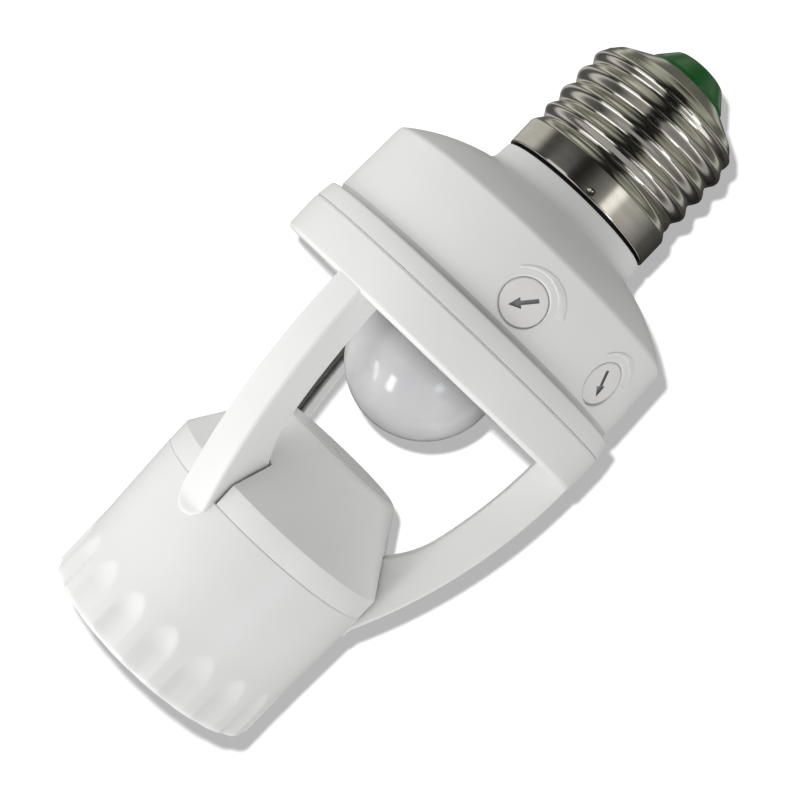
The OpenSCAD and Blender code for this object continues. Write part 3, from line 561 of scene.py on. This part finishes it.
def make_housing():
    lip = COLLAR_R - SHELL_WALL
    flange = [(lip, JOINT_Z), (COLLAR_R - 0.6, JOINT_Z), (COLLAR_R - 0.6, JOINT_Z + 0.06),
              (COLLAR_R - 0.03, JOINT_Z + 0.06, 0.05), (COLLAR_R - 0.5, FLANGE_Z, 0.4)]
    groove = [(GROOVE_R, FLANGE_Z, 0.1), (GROOVE_R, FLANGE_Z + GROOVE_H - 0.25, 0.3),
              (FOOT_R - 0.03, FLANGE_Z + GROOVE_H + 0.1, 0.3)]
    shoulder = [(*p, 1.3 if i == 0 else 0) for i, p in enumerate(shoulder_line(0, NECK_R, 14)[:-3])]
    neck = [(NECK_R, NECK_Z, 2.0), (NECK_R - 0.25, NECK_TOP_Z, 0.2), (SPIGOT_R, NECK_TOP_Z),
            (SPIGOT_R, SPIGOT_TOP_Z), (SPIGOT_R - SHELL_WALL, SPIGOT_TOP_Z)]
    inside = shoulder_line(SHELL_WALL, SPIGOT_R - SHELL_WALL, 12)[::-1] + [(FOOT_R - SHELL_WALL, LIP_Z), (lip, LIP_Z)]
    body = revolve("housing", rounded(flange + groove + shoulder + neck + inside, 6), 256)
    cut(body, [make_hole_cutter(a) for a in DIAL_ANGLES.values()])
    for slot in ("housing", "gap", "crevice"):
        body.data.materials.append(mats[slot])
    # painted shade: the spigot under the cap takes the near-black gap colour and the groove at the wall's foot a
    # darker grey, both standing in for shade
    for f in body.data.polygons:
        z, r = f.center.z / MM, f.center.xy.length / MM
        if z > NECK_TOP_Z - 0.02:
            f.material_index = 1
        elif FLANGE_Z + 0.01 < z < FLANGE_Z + GROOVE_H + 0.03 and GROOVE_R - 0.05 < r < FOOT_R - 0.04:
            f.material_index = 2
    parts = [body]
    for a in DIAL_ANGLES.values():
        parts += [make_hole_ring(a), make_crescent(a)]
    parts += at_angles(SCREW_ANGLES, SCREW_AT, FLOOR_Z + 0.15, WALL_TOP_Z - 1.2, BOSS_R)
    return merge("housing_moulding", parts)


finish_piece(make_housing(), "housing_moulding", "holder", "housing", "upper_housing")

# Collar, arms and fluted skirt
FOOT_CUT_Z = (PARTING_Z + FOOT_END_Z) / 2
FOOT_ROUND_Z = FOOT_END_Z + ARM_FOOT_W / 2
ARM_EDGE = 0.45
SLOT_DEPTH = 3.5
SLOT_END_Z = 27.0
LENS_HOLE_R = LENS_R + 0.2
CELL_ANGLE = 300
CELL_HOLE_R = 2.7
SCREW_HOLE_R = 1.4
SCREW_RECESS_R = 2.5
SCREW_RECESS_Z = COLLAR_Z + 0.85
POST_AT = 21.5
POST_R = 1.8
POST_H = 3.8


def arm_out(z):
    return BOW_C + math.sqrt(BOW_R ** 2 - (FLOOR_Z - z) ** 2) if z > FOOT_CUT_Z else FOOT_OUT_R


def arm_in(z):
    if z >= FLARE_Z:
        return BOW_C + math.sqrt((BOW_R - ARM_DEPTH) ** 2 - (FLOOR_Z - z) ** 2)
    if z >= FOOT_IN_Z:
        return FLARE_C[0] + math.sqrt(FLARE_R ** 2 - (z - FLARE_C[1]) ** 2)
    if z >= BAND_TOP_Z:
        return NOTCH_R - (NOTCH_R - FOOT_IN_R) * (z - BAND_TOP_Z) / (FOOT_IN_Z - BAND_TOP_Z)
    return NOTCH_R


def arm_sections(grow=0.0, edge=ARM_EDGE):
    """Closed sections of an arm from the collar down to its rounded foot, as (across, out, up)."""
    top = COLLAR_Z + 0.8
    rows = [(z, None) for z in np.linspace(top, FLARE_Z, 22)]
    rows += [(z, None) for z in np.linspace(FLARE_Z, FOOT_IN_Z, 14)[1:]]
    rows += [(z, None) for z in (31.4, 30.0, BAND_TOP_Z, 27.2, 26.0, 25.0, 24.3)]
    rows += [(None, a) for a in (0, 15, 30, 42, 54, 64, 72, 79, 85, 89)]
    bend = [math.radians(b) for b in (0, 12, 26, 42, 60, 78, 90)]
    sections = []
    for z, a in rows:
        half = ARM_FOOT_W / 2 + grow
        if a is None:
            w = (ARM_TOP_W + (ARM_FOOT_W - ARM_TOP_W) * (FLOOR_Z - z) / (FLOOR_Z - FOOT_ROUND_Z)) / 2 + grow
        else:
            z = FOOT_ROUND_Z - half * math.sin(math.radians(a))
            w = half * math.cos(math.radians(a))

        def margin(u):
            return w - abs(u) if a is None else half - math.hypot(u, FOOT_ROUND_Z - z)

        def drop(u, e):
            d = min(max(margin(u), 0), e)
            return e - math.sqrt(max(e * e - (e - d) ** 2, 0)) if e > 0 else 0

        e = min(edge, 0.95 * w)
        across = [-(w - e * (1 - math.sin(b))) for b in reversed(bend)] if e > 0 else [-w]
        across += [k * (w - e) for k in np.linspace(-1, 1, 7)[1:-1]]
        across += [w - e * (1 - math.sin(b)) for b in bend] if e > 0 else [w]
        e_in = edge if z > FOOT_IN_Z + 0.6 else 0.02
        out, inn = arm_out(z) + grow, arm_in(z) - grow
        section = [(u, math.sqrt((out - drop(u, edge)) ** 2 - u * u), z) for u in across]
        section += [(u, math.sqrt((inn + drop(u, e_in)) ** 2 - u * u), z) for u in reversed(across)]
        sections.append(section)
    return sections


def turned(sections, angle):
    a = math.radians(angle)
    s, c = math.sin(a), math.cos(a)
    return [[(r * c + u * s, r * s - u * c, z) for u, r, z in row] for row in sections]


def slot_cutter():
    """Slot for the two leads in the rear arm, down into the roof."""
    def angle(d, z):
        return math.degrees(math.asin((FLOOR_Z - z) / (BOW_R - ARM_DEPTH + d)))

    line = arc(BOW_C, FLOOR_Z, BOW_R - ARM_DEPTH + SLOT_DEPTH, -angle(SLOT_DEPTH, SLOT_END_Z), 3, 24)
    line += arc(BOW_C, FLOOR_Z, BOW_R - ARM_DEPTH - 2, 3, -angle(-2, FOOT_IN_Z + 1), 24)
    line += [(FOOT_IN_R - 1, FOOT_IN_Z - 0.6), (FOOT_IN_R - 4, BAND_TOP_Z + 1.2)]
    return loft("cutter", [[(x, r, z) for r, z in line] for x in (-SLOT_W / 2, SLOT_W / 2)])


def make_collar():
    lip = COLLAR_R - SHELL_WALL - 0.15
    profile = rounded([
        (LENS_HOLE_R, COLLAR_Z, 0.15), (COLLAR_R, COLLAR_Z, 0.8), (COLLAR_R, JOINT_Z - 0.3, 0.15),
        (COLLAR_R - 0.25, JOINT_Z), (lip, JOINT_Z), (lip, JOINT_Z + 1), (lip - 0.9, JOINT_Z + 1), (lip - 0.9, FLOOR_Z),
        (LENS_HOLE_R, FLOOR_Z)
    ], 8, closed=True)
    body = revolve("collar", profile, 256)
    cutters = [slot_cutter()]
    cutters += at_angles([CELL_ANGLE], CELL_AT, COLLAR_Z - 1, FLOOR_Z + 1, CELL_HOLE_R)
    cutters += at_angles(SCREW_ANGLES, SCREW_AT, COLLAR_Z - 1, FLOOR_Z + 1, SCREW_HOLE_R)
    cutters += at_angles(SCREW_ANGLES, SCREW_AT, COLLAR_Z - 1, SCREW_RECESS_Z, SCREW_RECESS_R)
    return cut(body, cutters)


FLUTES = 18
FLUTE_R = 3.0
FLUTE_C = RIM_R + FLUTE_R - 0.62
FLUTE_PHASE = 283
FLUTE_BLEND = 1.0
FLUTE_TOP_Z = 10.6
BALL_Z = 4.6
BALL_LONG = 1.7
RIM_ROUND = 1.0
SKIRT_TOP_Z = PARTING_Z - 0.2


def skirt_r(z, a):
    """Outer radius of the skirt near its rim: round grooves that end in balls, blended into the wall."""
    wall = RIM_R
    if z < RIM_ROUND:
        wall += math.sqrt(RIM_ROUND ** 2 - (RIM_ROUND - z) ** 2) - RIM_ROUND
    step = 2 * math.pi / FLUTES
    d = (a - math.radians(FLUTE_PHASE) + step / 2) % step - step / 2
    r = FLUTE_R if z < BALL_Z else math.sqrt(max(FLUTE_R ** 2 - ((z - BALL_Z) / BALL_LONG) ** 2, 0))
    inside = r * r - (FLUTE_C * math.sin(d)) ** 2
    if inside <= 0:
        return wall
    groove = FLUTE_C * math.cos(d) - math.sqrt(inside)
    h = max(FLUTE_BLEND - abs(wall - groove), 0) / FLUTE_BLEND
    return min(wall, groove) - h * h * FLUTE_BLEND / 4


def make_skirt(n=648):
    bore = RIM_R - SOCKET_WALL
    rows = [row_at(z, r, n) for r, z in ((bore, FLUTE_TOP_Z), (bore, 0.3), (bore + 0.1, 0.05))]
    rows.append(row_at(0.0, lambda z, a: min(skirt_r(z, a), RIM_R - 0.9) - 0.1, n))
    heights = [0.03, 0.1, 0.22, 0.38, 0.55, 0.75, 1.0, 1.4]
    heights += [*np.arange(1.8, BALL_Z - 0.1, 0.6), *np.arange(BALL_Z, FLUTE_TOP_Z - 0.1, 0.2)]
    rows += [row_at(z, skirt_r, n) for z in heights]
    rows += [row_at(z, r, n) for r, z in rounded([
        (RIM_R, FLUTE_TOP_Z), (RIM_R + 0.18, 15.6), (SOCKET_R, SKIRT_TOP_Z, 0.1),
        (SOCKET_R - 0.14, SKIRT_TOP_Z + 0.17), (SOCKET_R - SOCKET_WALL, SKIRT_TOP_Z + 0.17)
    ], 4)]
    return build("skirt", *grid(rows, wrap_rows=True), 50)


def make_frame():
    parts = [make_collar(), make_skirt()]
    sections = arm_sections()
    for a in ARM_ANGLES:
        arm = loft("arm", turned(sections, a), 50)
        if a == 90:
            cut(arm, [slot_cutter()], sharp=50)
        parts.append(arm)
    parts += at_angles(POST_ANGLES, POST_AT, FLOOR_Z - 0.05, FLOOR_Z + POST_H, POST_R)
    return merge("collar_arms_skirt", parts)


finish_piece(make_frame(), "collar_arms_skirt", "holder", "frame", "lower_frame")


# Roof between the feet of the arms
ROOF_EDGE_R = 2.0
ROOF_HOLE_R = 1.3
ROOF_FOOT_Z = 23.35
ROOF_SPIGOT_R = 17.45
ROOF_IN_R = 16.2
ROOF_POST_Z = (27.05, 36.0)
ROOF_POST_R = 2.5


def make_roof():
    slope = math.atan2(ROOF_TOP_Z - BAND_TOP_Z, SOCKET_R - ROOF_TOP_R)
    run = 1 / math.tan(slope)
    inset = ROOF_WALL / math.sin(slope)
    under_z = ROOF_TOP_Z - ROOF_WALL
    edge_c = (ROOF_TOP_R - ROOF_EDGE_R * math.tan(slope / 2), ROOF_TOP_Z - ROOF_EDGE_R)
    profile = rounded([
        (ROOF_IN_R, ROOF_FOOT_Z), (ROOF_SPIGOT_R, ROOF_FOOT_Z), (ROOF_SPIGOT_R, PARTING_Z),
        (SOCKET_R - 0.02, PARTING_Z, 0.04), (SOCKET_R, BAND_TOP_Z, 0.25)
    ] + arc(*edge_c, ROOF_EDGE_R, 90 - math.degrees(slope), 90, 10) + [
        (ROOF_HOLE_R, ROOF_TOP_Z, 0.1), (ROOF_HOLE_R, under_z), (ROOF_TOP_R - inset + ROOF_WALL * run, under_z),
        (ROOF_IN_R, BAND_TOP_Z + (SOCKET_R - inset - ROOF_IN_R) / run)
    ], 5, closed=True)
    body = revolve("roof", profile, 240)
    grown = arm_sections(NOTCH_GAP, 0.0)
    cut(body, [loft("notch_cutter", turned(grown, a)) for a in ARM_ANGLES] + [slot_cutter()])
    posts = at_angles((0, 180), CARRIER_SCREW_AT, *ROOF_POST_Z, ROOF_POST_R)
    return merge("roof_cone", [body] + posts)


finish_piece(make_roof(), "roof_cone", "holder", "roof", "socket_roof")

# Metal cap: plain skirt with a turned lip, crimps, rolled thread and end cone
CRIMP_ANGLE = 243
CRIMP_UP = 0.85
CRIMP_R = 0.55
CRIMP_DEPTH = 0.25
RUN_OUT = 1.9
RUN_OUT_Z = THREAD_Z - RUN_OUT


def thread(z, a, crest_z, low, high):
    """How far a rolled thread has faded in between two heights, and its wave from root 0 to crest 1."""
    run = PITCH * 0.55
    fade = max(0, min(1, (z - low) / run, (high - z) / run))
    return fade, 0.5 + 0.5 * math.cos(2 * math.pi * (z - crest_z) / PITCH - a)


def crimp(z, a):
    """Depth of the four crimp marks in the plain skirt."""
    step = math.pi / 2
    d = (a - math.radians(CRIMP_ANGLE) + step / 2) % step - step / 2
    x = math.hypot(CAP_R * d, z - CAP_Z - CRIMP_UP) / CRIMP_R
    return CRIMP_DEPTH * math.cos(math.pi / 2 * x) ** 2 if x < 1 else 0


def cap_radius(z, a):
    """Radius of the cap: the plain skirt with its crimps, which runs out into the thread."""
    fade, wave = thread(z, a, THREAD_Z - 0.3, THREAD_Z - 0.6, CONE_Z + 0.3)
    threaded = ROOT_R + (CREST_R - ROOT_R) * fade * wave ** 0.85
    t = max(0, min(1, (z - RUN_OUT_Z) / RUN_OUT))
    t = t * t * (3 - 2 * t)
    return (CAP_R - crimp(z, a)) * (1 - t) + threaded * t


def make_screw_shell(n=288):
    lip = rounded([
        (ROOT_R - 0.3, CAP_Z + 0.4), (ROOT_R - 0.3, CAP_Z), (CAP_R, CAP_Z, 0.25), (CAP_R, CAP_Z + 0.5)
    ], 5)
    heights = [*np.arange(CAP_Z + 0.6, RUN_OUT_Z, 0.12), *np.arange(RUN_OUT_Z, CONE_Z + 0.01, 0.14)]
    cone = rounded([
        (12.15, CONE_Z + 0.1), (11.3, CONE_Z + 1.15, 1.4), (INSULATOR_R + 0.25, INSULATOR_Z - 0.15, 0.3),
        (INSULATOR_R + 0.05, INSULATOR_Z, 0.1), (5.8, INSULATOR_Z - 0.4)
    ], 6)
    rows = [row_at(z, r, n) for r, z in lip]
    rows += [row_at(z, cap_radius, n) for z in heights]
    rows += [row_at(z, r, n) for r, z in cone]
    return build("screw_shell_rolled", *grid(rows), 60)


finish_piece(make_screw_shell(), "screw_shell_rolled", "holder", "cap_metal", "screw_shell")

# Insulator: a blunt cone with a recess for the tip
INSULATOR_ROOT_R = 5.7
TIP_HOLE_R = 2.75
insulator = revolve("insulator_glass", rounded([
    (INSULATOR_ROOT_R, INSULATOR_Z - 0.9), (INSULATOR_ROOT_R, INSULATOR_Z - 0.1),
    (INSULATOR_R, INSULATOR_Z + 0.02, 0.05), (INSULATOR_R, INSULATOR_Z + 0.35, 0.3),
    (INSULATOR_TOP_R + 0.25, TIP_Z, 1.0), (TIP_HOLE_R, TIP_Z, 0.1), (TIP_HOLE_R, TIP_Z - 0.6)
], 8), 128, closed=False, sharp=50)
finish_piece(insulator, "insulator_glass", "holder", "insulator", "cap_insulator")

# Lens dome with its flange
LENS_WALL = 0.8
LENS_C = (0, COLLAR_Z - LENS_DROP)
LENS_FLANGE_R = LENS_R + 1.6
LENS_FLANGE_Z = FLOOR_Z + 0.05
lens = revolve("lens_dome", arc(*LENS_C, LENS_R, -89.9, 0, 48) + [
    (LENS_R, LENS_FLANGE_Z), (LENS_FLANGE_R, LENS_FLANGE_Z), (LENS_FLANGE_R, LENS_FLANGE_Z + LENS_WALL),
    (LENS_R - LENS_WALL, LENS_FLANGE_Z + LENS_WALL)
] + arc(*LENS_C, LENS_R - LENS_WALL, 0, -89.9, 48), 160, sharp=50)
finish_piece(lens, "lens_dome", "holder", "lens", "pir_lens")

# Dials with a sunk arrow, given by half its length, half the shaft's and head's widths, and where the head starts
ARROW_HALF, ARROW_SHAFT, ARROW_HEAD = 2.1, 0.3, 0.8
ARROW_NECK = ARROW_HALF - 1.7
ARROW_DEPTH = 0.3


def make_dial(kind):
    turn = Matrix.Rotation(math.radians(DIAL_ARROWS[kind]), 4, "Z")
    place = on_wall(DIAL_ANGLES[kind], DIAL_R_OUT - DIAL_T, DIAL_Z) @ turn
    body = revolve("dial", rounded([
        (0.01, 0), (HOLE_R - 0.05, 0), (HOLE_R - 0.05, DIAL_T - 0.35), (DIAL_R, DIAL_T - 0.3),
        (DIAL_R, DIAL_T, 0.18), (0.01, DIAL_T)
    ], 5), 96, sharp=50)
    arrow = [(-ARROW_HALF, -ARROW_SHAFT), (ARROW_NECK, -ARROW_SHAFT), (ARROW_NECK, -ARROW_HEAD), (ARROW_HALF, 0),
             (ARROW_NECK, ARROW_HEAD), (ARROW_NECK, ARROW_SHAFT), (-ARROW_HALF, ARROW_SHAFT)]
    cutter = loft("arrow", [[(x, y, z) for x, y in arrow] for z in (DIAL_T - ARROW_DEPTH, DIAL_T + 1)])
    # painted shade: the arrow's sunk faces take this dark grey in place of the shade in the recess
    cutter.data.materials.append(mats["mark"])
    body.data.materials.append(mats["dial"])
    cut(body, [cutter], sharp=50)
    body.data.transform(place)
    return body


for kind in DIAL_ANGLES:
    finish_piece(make_dial(kind), kind + "_dial_face", kind + "_knob", "dial", kind + "_dial")

# Inner screw shell of the lamp socket, with a rolled female thread
MOUTH_Z = 4.5
MOUTH_R = 13.45
SHELL_R = MOUTH_R + 0.35
SHELL_TOP_Z = 23.15
SHELL_END_Z = SHELL_TOP_Z - 0.4
SHELL_HOLE_R = 7.2
LAMP_THREAD_Z = MOUTH_Z + 3
LAMP_ROOT_R = 12.35
LAMP_THREAD_DEPTH = 0.87


def lamp_shell_radius(z, a):
    fade, wave = thread(z, a, LAMP_THREAD_Z + 1, LAMP_THREAD_Z - 0.8, SHELL_END_Z)
    return LAMP_ROOT_R + LAMP_THREAD_DEPTH * fade * wave


def make_lamp_shell(n=180):
    outside = rounded([
        (SHELL_HOLE_R, SHELL_TOP_Z), (SHELL_R, SHELL_TOP_Z), (SHELL_R, MOUTH_Z, 0.12), (MOUTH_R, MOUTH_Z, 0.12),
        (MOUTH_R, LAMP_THREAD_Z - 0.2)
    ], 4)
    rows = [row_at(z, r, n) for r, z in outside]
    rows += [row_at(z, lamp_shell_radius, n) for z in np.arange(LAMP_THREAD_Z, SHELL_END_Z - 0.1, 0.18)]
    rows += [row_at(SHELL_END_Z, r, n) for r in (LAMP_ROOT_R, SHELL_HOLE_R)]
    return build("lamp_shell_rolled", *grid(rows, wrap_rows=True), 50)


finish_piece(make_lamp_shell(), "lamp_shell_rolled", "holder", "brass", "lamp_shell")


# Camera at the photograph's angle: the part's axis leans to the upper right of the picture
CAM_DIR = math.radians(241)
CAM_DISTANCE = 230.0
CAM_Z = 58.27
AIM_Z = 52.33
AIM_RIGHT = 1.34
LEAN = math.radians(43.7)
FOCAL_PX = 1548.0
PHOTO_PX = 800
SENSOR_MM = 36

toward = Vector((math.cos(CAM_DIR), math.sin(CAM_DIR), 0))
right0 = Vector((-math.sin(CAM_DIR), math.cos(CAM_DIR), 0))
eye = toward * CAM_DISTANCE + right0 * AIM_RIGHT + Vector((0, 0, CAM_Z))
aim = right0 * AIM_RIGHT + Vector((0, 0, AIM_Z))
forward = (aim - eye).normalized()
up0 = (Vector((0, 0, 1)) - forward * forward.z).normalized()
cam_up = up0 * math.cos(LEAN) - right0 * math.sin(LEAN)
cam_right = right0 * math.cos(LEAN) + up0 * math.sin(LEAN)
cam = bpy.data.objects.new("camera", bpy.data.cameras.new("camera"))
bpy.context.scene.collection.objects.link(cam)
cam.data.sensor_width = SENSOR_MM
cam.data.lens = SENSOR_MM * FOCAL_PX / PHOTO_PX
cam.matrix_world = axes_matrix(cam_right, cam_up, -forward, eye * MM)
cam.data.clip_start = 0.005
cam.data.clip_end = 20
bpy.context.scene.camera = cam

# White floor that the part lies on in the photograph, square to the camera, with its drop shadow
FLOOR_BEHIND = 29.5
FLOOR_SIZE = 0.6


def make_floor():
    mesh = bpy.data.meshes.new("floor")
    s = FLOOR_SIZE
    mesh.from_pydata([(-s, -s, 0), (s, -s, 0), (s, s, 0), (-s, s, 0)], [], [(0, 1, 2, 3)])
    obj = bpy.data.objects.new("floor", mesh)
    bpy.context.scene.collection.objects.link(obj)
    obj.matrix_world = axes_matrix(cam_right, cam_up, -forward, (aim + forward * FLOOR_BEHIND) * MM)
    mat = bpy.data.materials.new("white_floor")
    mat.use_nodes = True
    nt = mat.node_tree
    nt.nodes.clear()
    out = nt.nodes.new("ShaderNodeOutputMaterial")
    diffuse = nt.nodes.new("ShaderNodeBsdfDiffuse")
    diffuse.inputs["Color"].default_value = (0.06, 0.06, 0.06, 1)
    glow = nt.nodes.new("ShaderNodeEmission")
    glow.inputs["Color"].default_value = (1, 0.985, 0.99, 1)
    glow.inputs["Strength"].default_value = 0.42
    add = nt.nodes.new("ShaderNodeAddShader")
    nt.links.new(diffuse.outputs[0], add.inputs[0])
    nt.links.new(glow.outputs[0], add.inputs[1])
    # clear from behind, so that it hides nothing in a view from the other side
    back = nt.nodes.new("ShaderNodeNewGeometry")
    clear = nt.nodes.new("ShaderNodeBsdfTransparent")
    mix = nt.nodes.new("ShaderNodeMixShader")
    nt.links.new(back.outputs["Backfacing"], mix.inputs[0])
    nt.links.new(add.outputs[0], mix.inputs[1])
    nt.links.new(clear.outputs[0], mix.inputs[2])
    nt.links.new(mix.outputs[0], out.inputs[0])
    obj.data.materials.append(mat)
    obj.visible_diffuse = False
    obj.visible_glossy = False
    obj.visible_transmission = False
    obj.visible_shadow = False
    return obj


floor = make_floor()

# Lamps
LAMP_AWAY = 420
scene_links = bpy.context.scene.collection.objects


def area(name, direction, size, power):
    """Rectangular lamp that faces the part from a direction."""
    lamp = bpy.data.lights.new(name, "AREA")
    lamp.shape = "RECTANGLE"
    lamp.size, lamp.size_y = size[0] * MM, size[1] * MM
    lamp.energy = power
    obj = bpy.data.objects.new(name, lamp)
    scene_links.link(obj)
    d = direction.normalized()
    obj.matrix_world = Matrix.Translation((aim + d * LAMP_AWAY) * MM) @ d.to_track_quat("Z", "Y").to_matrix().to_4x4()
    return obj


def from_camera(right, up, back):
    """Direction given by how far right, up the part's axis and toward the camera it points."""
    return right0 * right + Vector((0, 0, 1)) * up + toward * back


window = area("window_lamp", from_camera(-0.54, -0.785, 0.285), (55, 200), 0.2)
key = area("key_lamp", from_camera(-0.18, -0.85, 0.497), (70, 200), 0.5)
area("fill_lamp", from_camera(-0.75, -0.1, 0.65), (260, 260), 0.13)

# The two narrow lamps leave out the metal cap, which mirrors the studio alone
cap_out = bpy.data.collections.new("without_cap")
cap_out.objects.link(bpy.data.objects["screw_shell_rolled"])
cap_out.collection_objects[0].light_linking.link_state = "EXCLUDE"
for lamp in (window, key):
    lamp.light_linking.receiver_collection = cap_out

# Lamp near the camera whose only work is the soft drop shadow on the floor
DROP_LEFT = 9.2
DROP_UP = 17.0
drop = bpy.data.lights.new("drop_lamp", "POINT")
drop.shadow_soft_size = 3.0 * MM
drop.energy = 34
drop_obj = bpy.data.objects.new("drop_lamp", drop)
scene_links.link(drop_obj)
drop_obj.location = (eye - cam_right * DROP_LEFT + cam_up * DROP_UP) * MM
only_floor = bpy.data.collections.new("floor_only")
only_floor.objects.link(floor)
drop_obj.light_linking.receiver_collection = only_floor

# World: white to the camera, a soft graded light on the part, and a studio for its reflections.
# The soft light is given behind, left of, in front of and right of the part, as seen from the camera.
SOFT_LOW = (0.5, 0.0, 1.9, 0.0)
SOFT_MID = (0.9, 1.9, 0.09, 1.8)
SOFT_TOP = (0.9, 0.11, 0.0, 0.11)
SPOT_DIR = (0.67, -0.227, 0.71)
SPOT_WIDTH = 6.0
SPOT_EDGE = 1.5
SPOT_COLOUR = (4.5, 5.1, 5.6)
world = bpy.data.worlds.new("studio")
bpy.context.scene.world = world
world.use_nodes = True


def make_world(nt):
    nt.nodes.clear()
    out = nt.nodes.new("ShaderNodeOutputWorld")

    def background(colour=None):
        """Background of a colour, or plain white."""
        node = nt.nodes.new("ShaderNodeBackground")
        node.inputs["Color"].default_value = (1, 1, 1, 1)
        if colour is not None:
            nt.links.new(colour, node.inputs["Color"])
        return node.outputs[0]

    def math_node(op, a, b=None, c=None):
        node = nt.nodes.new("ShaderNodeMath")
        node.operation = op
        for i, v in enumerate((a, b, c)):
            if v is None:
                continue
            if isinstance(v, (int, float)):
                node.inputs[i].default_value = v
            else:
                nt.links.new(v, node.inputs[i])
        return node.outputs[0]

    sep = nt.nodes.new("ShaderNodeSeparateXYZ")
    coord = nt.nodes.new("ShaderNodeTexCoord").outputs["Generated"]
    nt.links.new(coord, sep.inputs[0])
    x, y, z = sep.outputs
    # turn the direction so that 0.5 is the way to the camera, and larger is to its right
    ca, sa = math.cos(CAM_DIR), math.sin(CAM_DIR)
    fx = math_node("ADD", math_node("MULTIPLY", x, ca), math_node("MULTIPLY", y, sa))
    fy = math_node("ADD", math_node("MULTIPLY", x, -sa), math_node("MULTIPLY", y, ca))
    turn = math_node("ARCTAN2", fy, fx)
    around = math_node("MULTIPLY_ADD", turn, 0.5 / math.pi, 0.5)

    def rise(slope, start):
        """0 below start, then up to 1 with the direction's height z."""
        node = nt.nodes.new("ShaderNodeMath")
        node.operation = "MULTIPLY_ADD"
        node.use_clamp = True
        nt.links.new(z, node.inputs[0])
        node.inputs[1].default_value = slope
        node.inputs[2].default_value = -slope * start
        return node.outputs[0]

    def blend(fac, a, b):
        node = nt.nodes.new("ShaderNodeMix")
        node.data_type = "RGBA"
        nt.links.new(fac, node.inputs[0])
        for socket, v in ((node.inputs[6], a), (node.inputs[7], b)):
            if isinstance(v, tuple):
                socket.default_value = (*v, 1)
            else:
                nt.links.new(v, socket)
        return node.outputs[2]

    def choose(fac, a, b):
        node = nt.nodes.new("ShaderNodeMixShader")
        nt.links.new(fac, node.inputs[0])
        nt.links.new(a, node.inputs[1])
        nt.links.new(b, node.inputs[2])
        return node.outputs[0]

    def ring(stops):
        """Brightness by degrees round the part, 0 toward the camera and positive to its right."""
        return ramp(nt, around, [(0.5 + deg / 360, v) for deg, v in stops])

    def quarters(behind, left, front, right):
        return ring([(-180, behind), (-90, left), (0, front), (90, right), (180, behind)])

    # soft light: rings below, level with and above the part
    level_down = blend(rise(1, -1), quarters(*SOFT_LOW), quarters(*SOFT_MID))
    soft = background(blend(rise(1, 0), level_down, quarters(*SOFT_TOP)))
    # studio: rings level with, below and above the part, and bright strips that lie one above the other
    band = ring([
        (-180, 0.12), (-165, 0.34), (-150, 0.55), (-100, 0.52), (-84, 0.07), (-57, 0.075), (-40, 0.045), (-21, 0.015),
        (-8, 0.05), (0, 0.11), (13, 0.18), (22, 0.30), (27, 1.10), (37, 1.10), (46, 0.48), (69, 0.40), (90, 0.24),
        (111, 0.09), (150, 0.04)
    ])
    below = ring([
        (-180, 0.25), (-110, 0.5), (-75, 0.25), (-50, 1.1), (-18, 1.2), (-11, 0.02), (15, 0.02), (22, 1.0), (75, 0.9),
        (100, 0.35), (150, 0.2)
    ])
    above = ring([
        (-180, 0.5), (-140, 0.6), (-100, 0.85), (-50, 0.5), (-22, 0.03), (18, 0.02), (40, 0.55), (80, 0.5),
        (120, 0.5), (150, 0.5)
    ])
    height = math_node("MULTIPLY_ADD", z, 0.5, 0.5)
    strips = ramp(nt, height, [
        (0.0, 0.2), (0.16, 0.25), (0.22, 0.35), (0.27, 1.25), (0.31, 1.25), (0.35, 0.2), (0.47, 0.2), (0.53, 0.9),
        (0.61, 1.0), (0.67, 0.25), (0.72, 0.2), (0.77, 1.0), (0.82, 0.25), (0.88, 0.2), (0.93, 0.75), (0.975, 0.5),
        (1.0, 0.04)
    ])
    tint = ramp(nt, height, [(0.5, (1, 0.98, 0.95)), (0.9, (0.97, 1.0, 0.85))])
    rings = blend(rise(-2.5, 0.0), blend(rise(4, 0.25), band, above), below)
    around_part = multiply(nt, multiply(nt, rings, strips), tint)
    # a small cool window on the right, seen in the lens
    spot = nt.nodes.new("ShaderNodeVectorMath")
    spot.operation = "DOT_PRODUCT"
    nt.links.new(coord, spot.inputs[0])
    spot.inputs[1].default_value = from_camera(*SPOT_DIR).normalized()
    near = nt.nodes.new("ShaderNodeMapRange")
    near.inputs["From Min"].default_value = math.cos(math.radians(SPOT_WIDTH + SPOT_EDGE))
    near.inputs["From Max"].default_value = math.cos(math.radians(SPOT_WIDTH))
    nt.links.new(spot.outputs["Value"], near.inputs["Value"])
    studio = background(blend(near.outputs[0], around_part, SPOT_COLOUR))
    path = nt.nodes.new("ShaderNodeLightPath")
    lit = choose(path.outputs["Is Glossy Ray"], soft, studio)
    seen = math_node("MAXIMUM", path.outputs["Is Camera Ray"], path.outputs["Is Transmission Ray"])
    nt.links.new(choose(seen, lit, background()), out.inputs[0])


make_world(world.node_tree)
world.cycles.sampling_method = "NONE"

bpy.context.scene.view_settings.view_transform = "Standard"
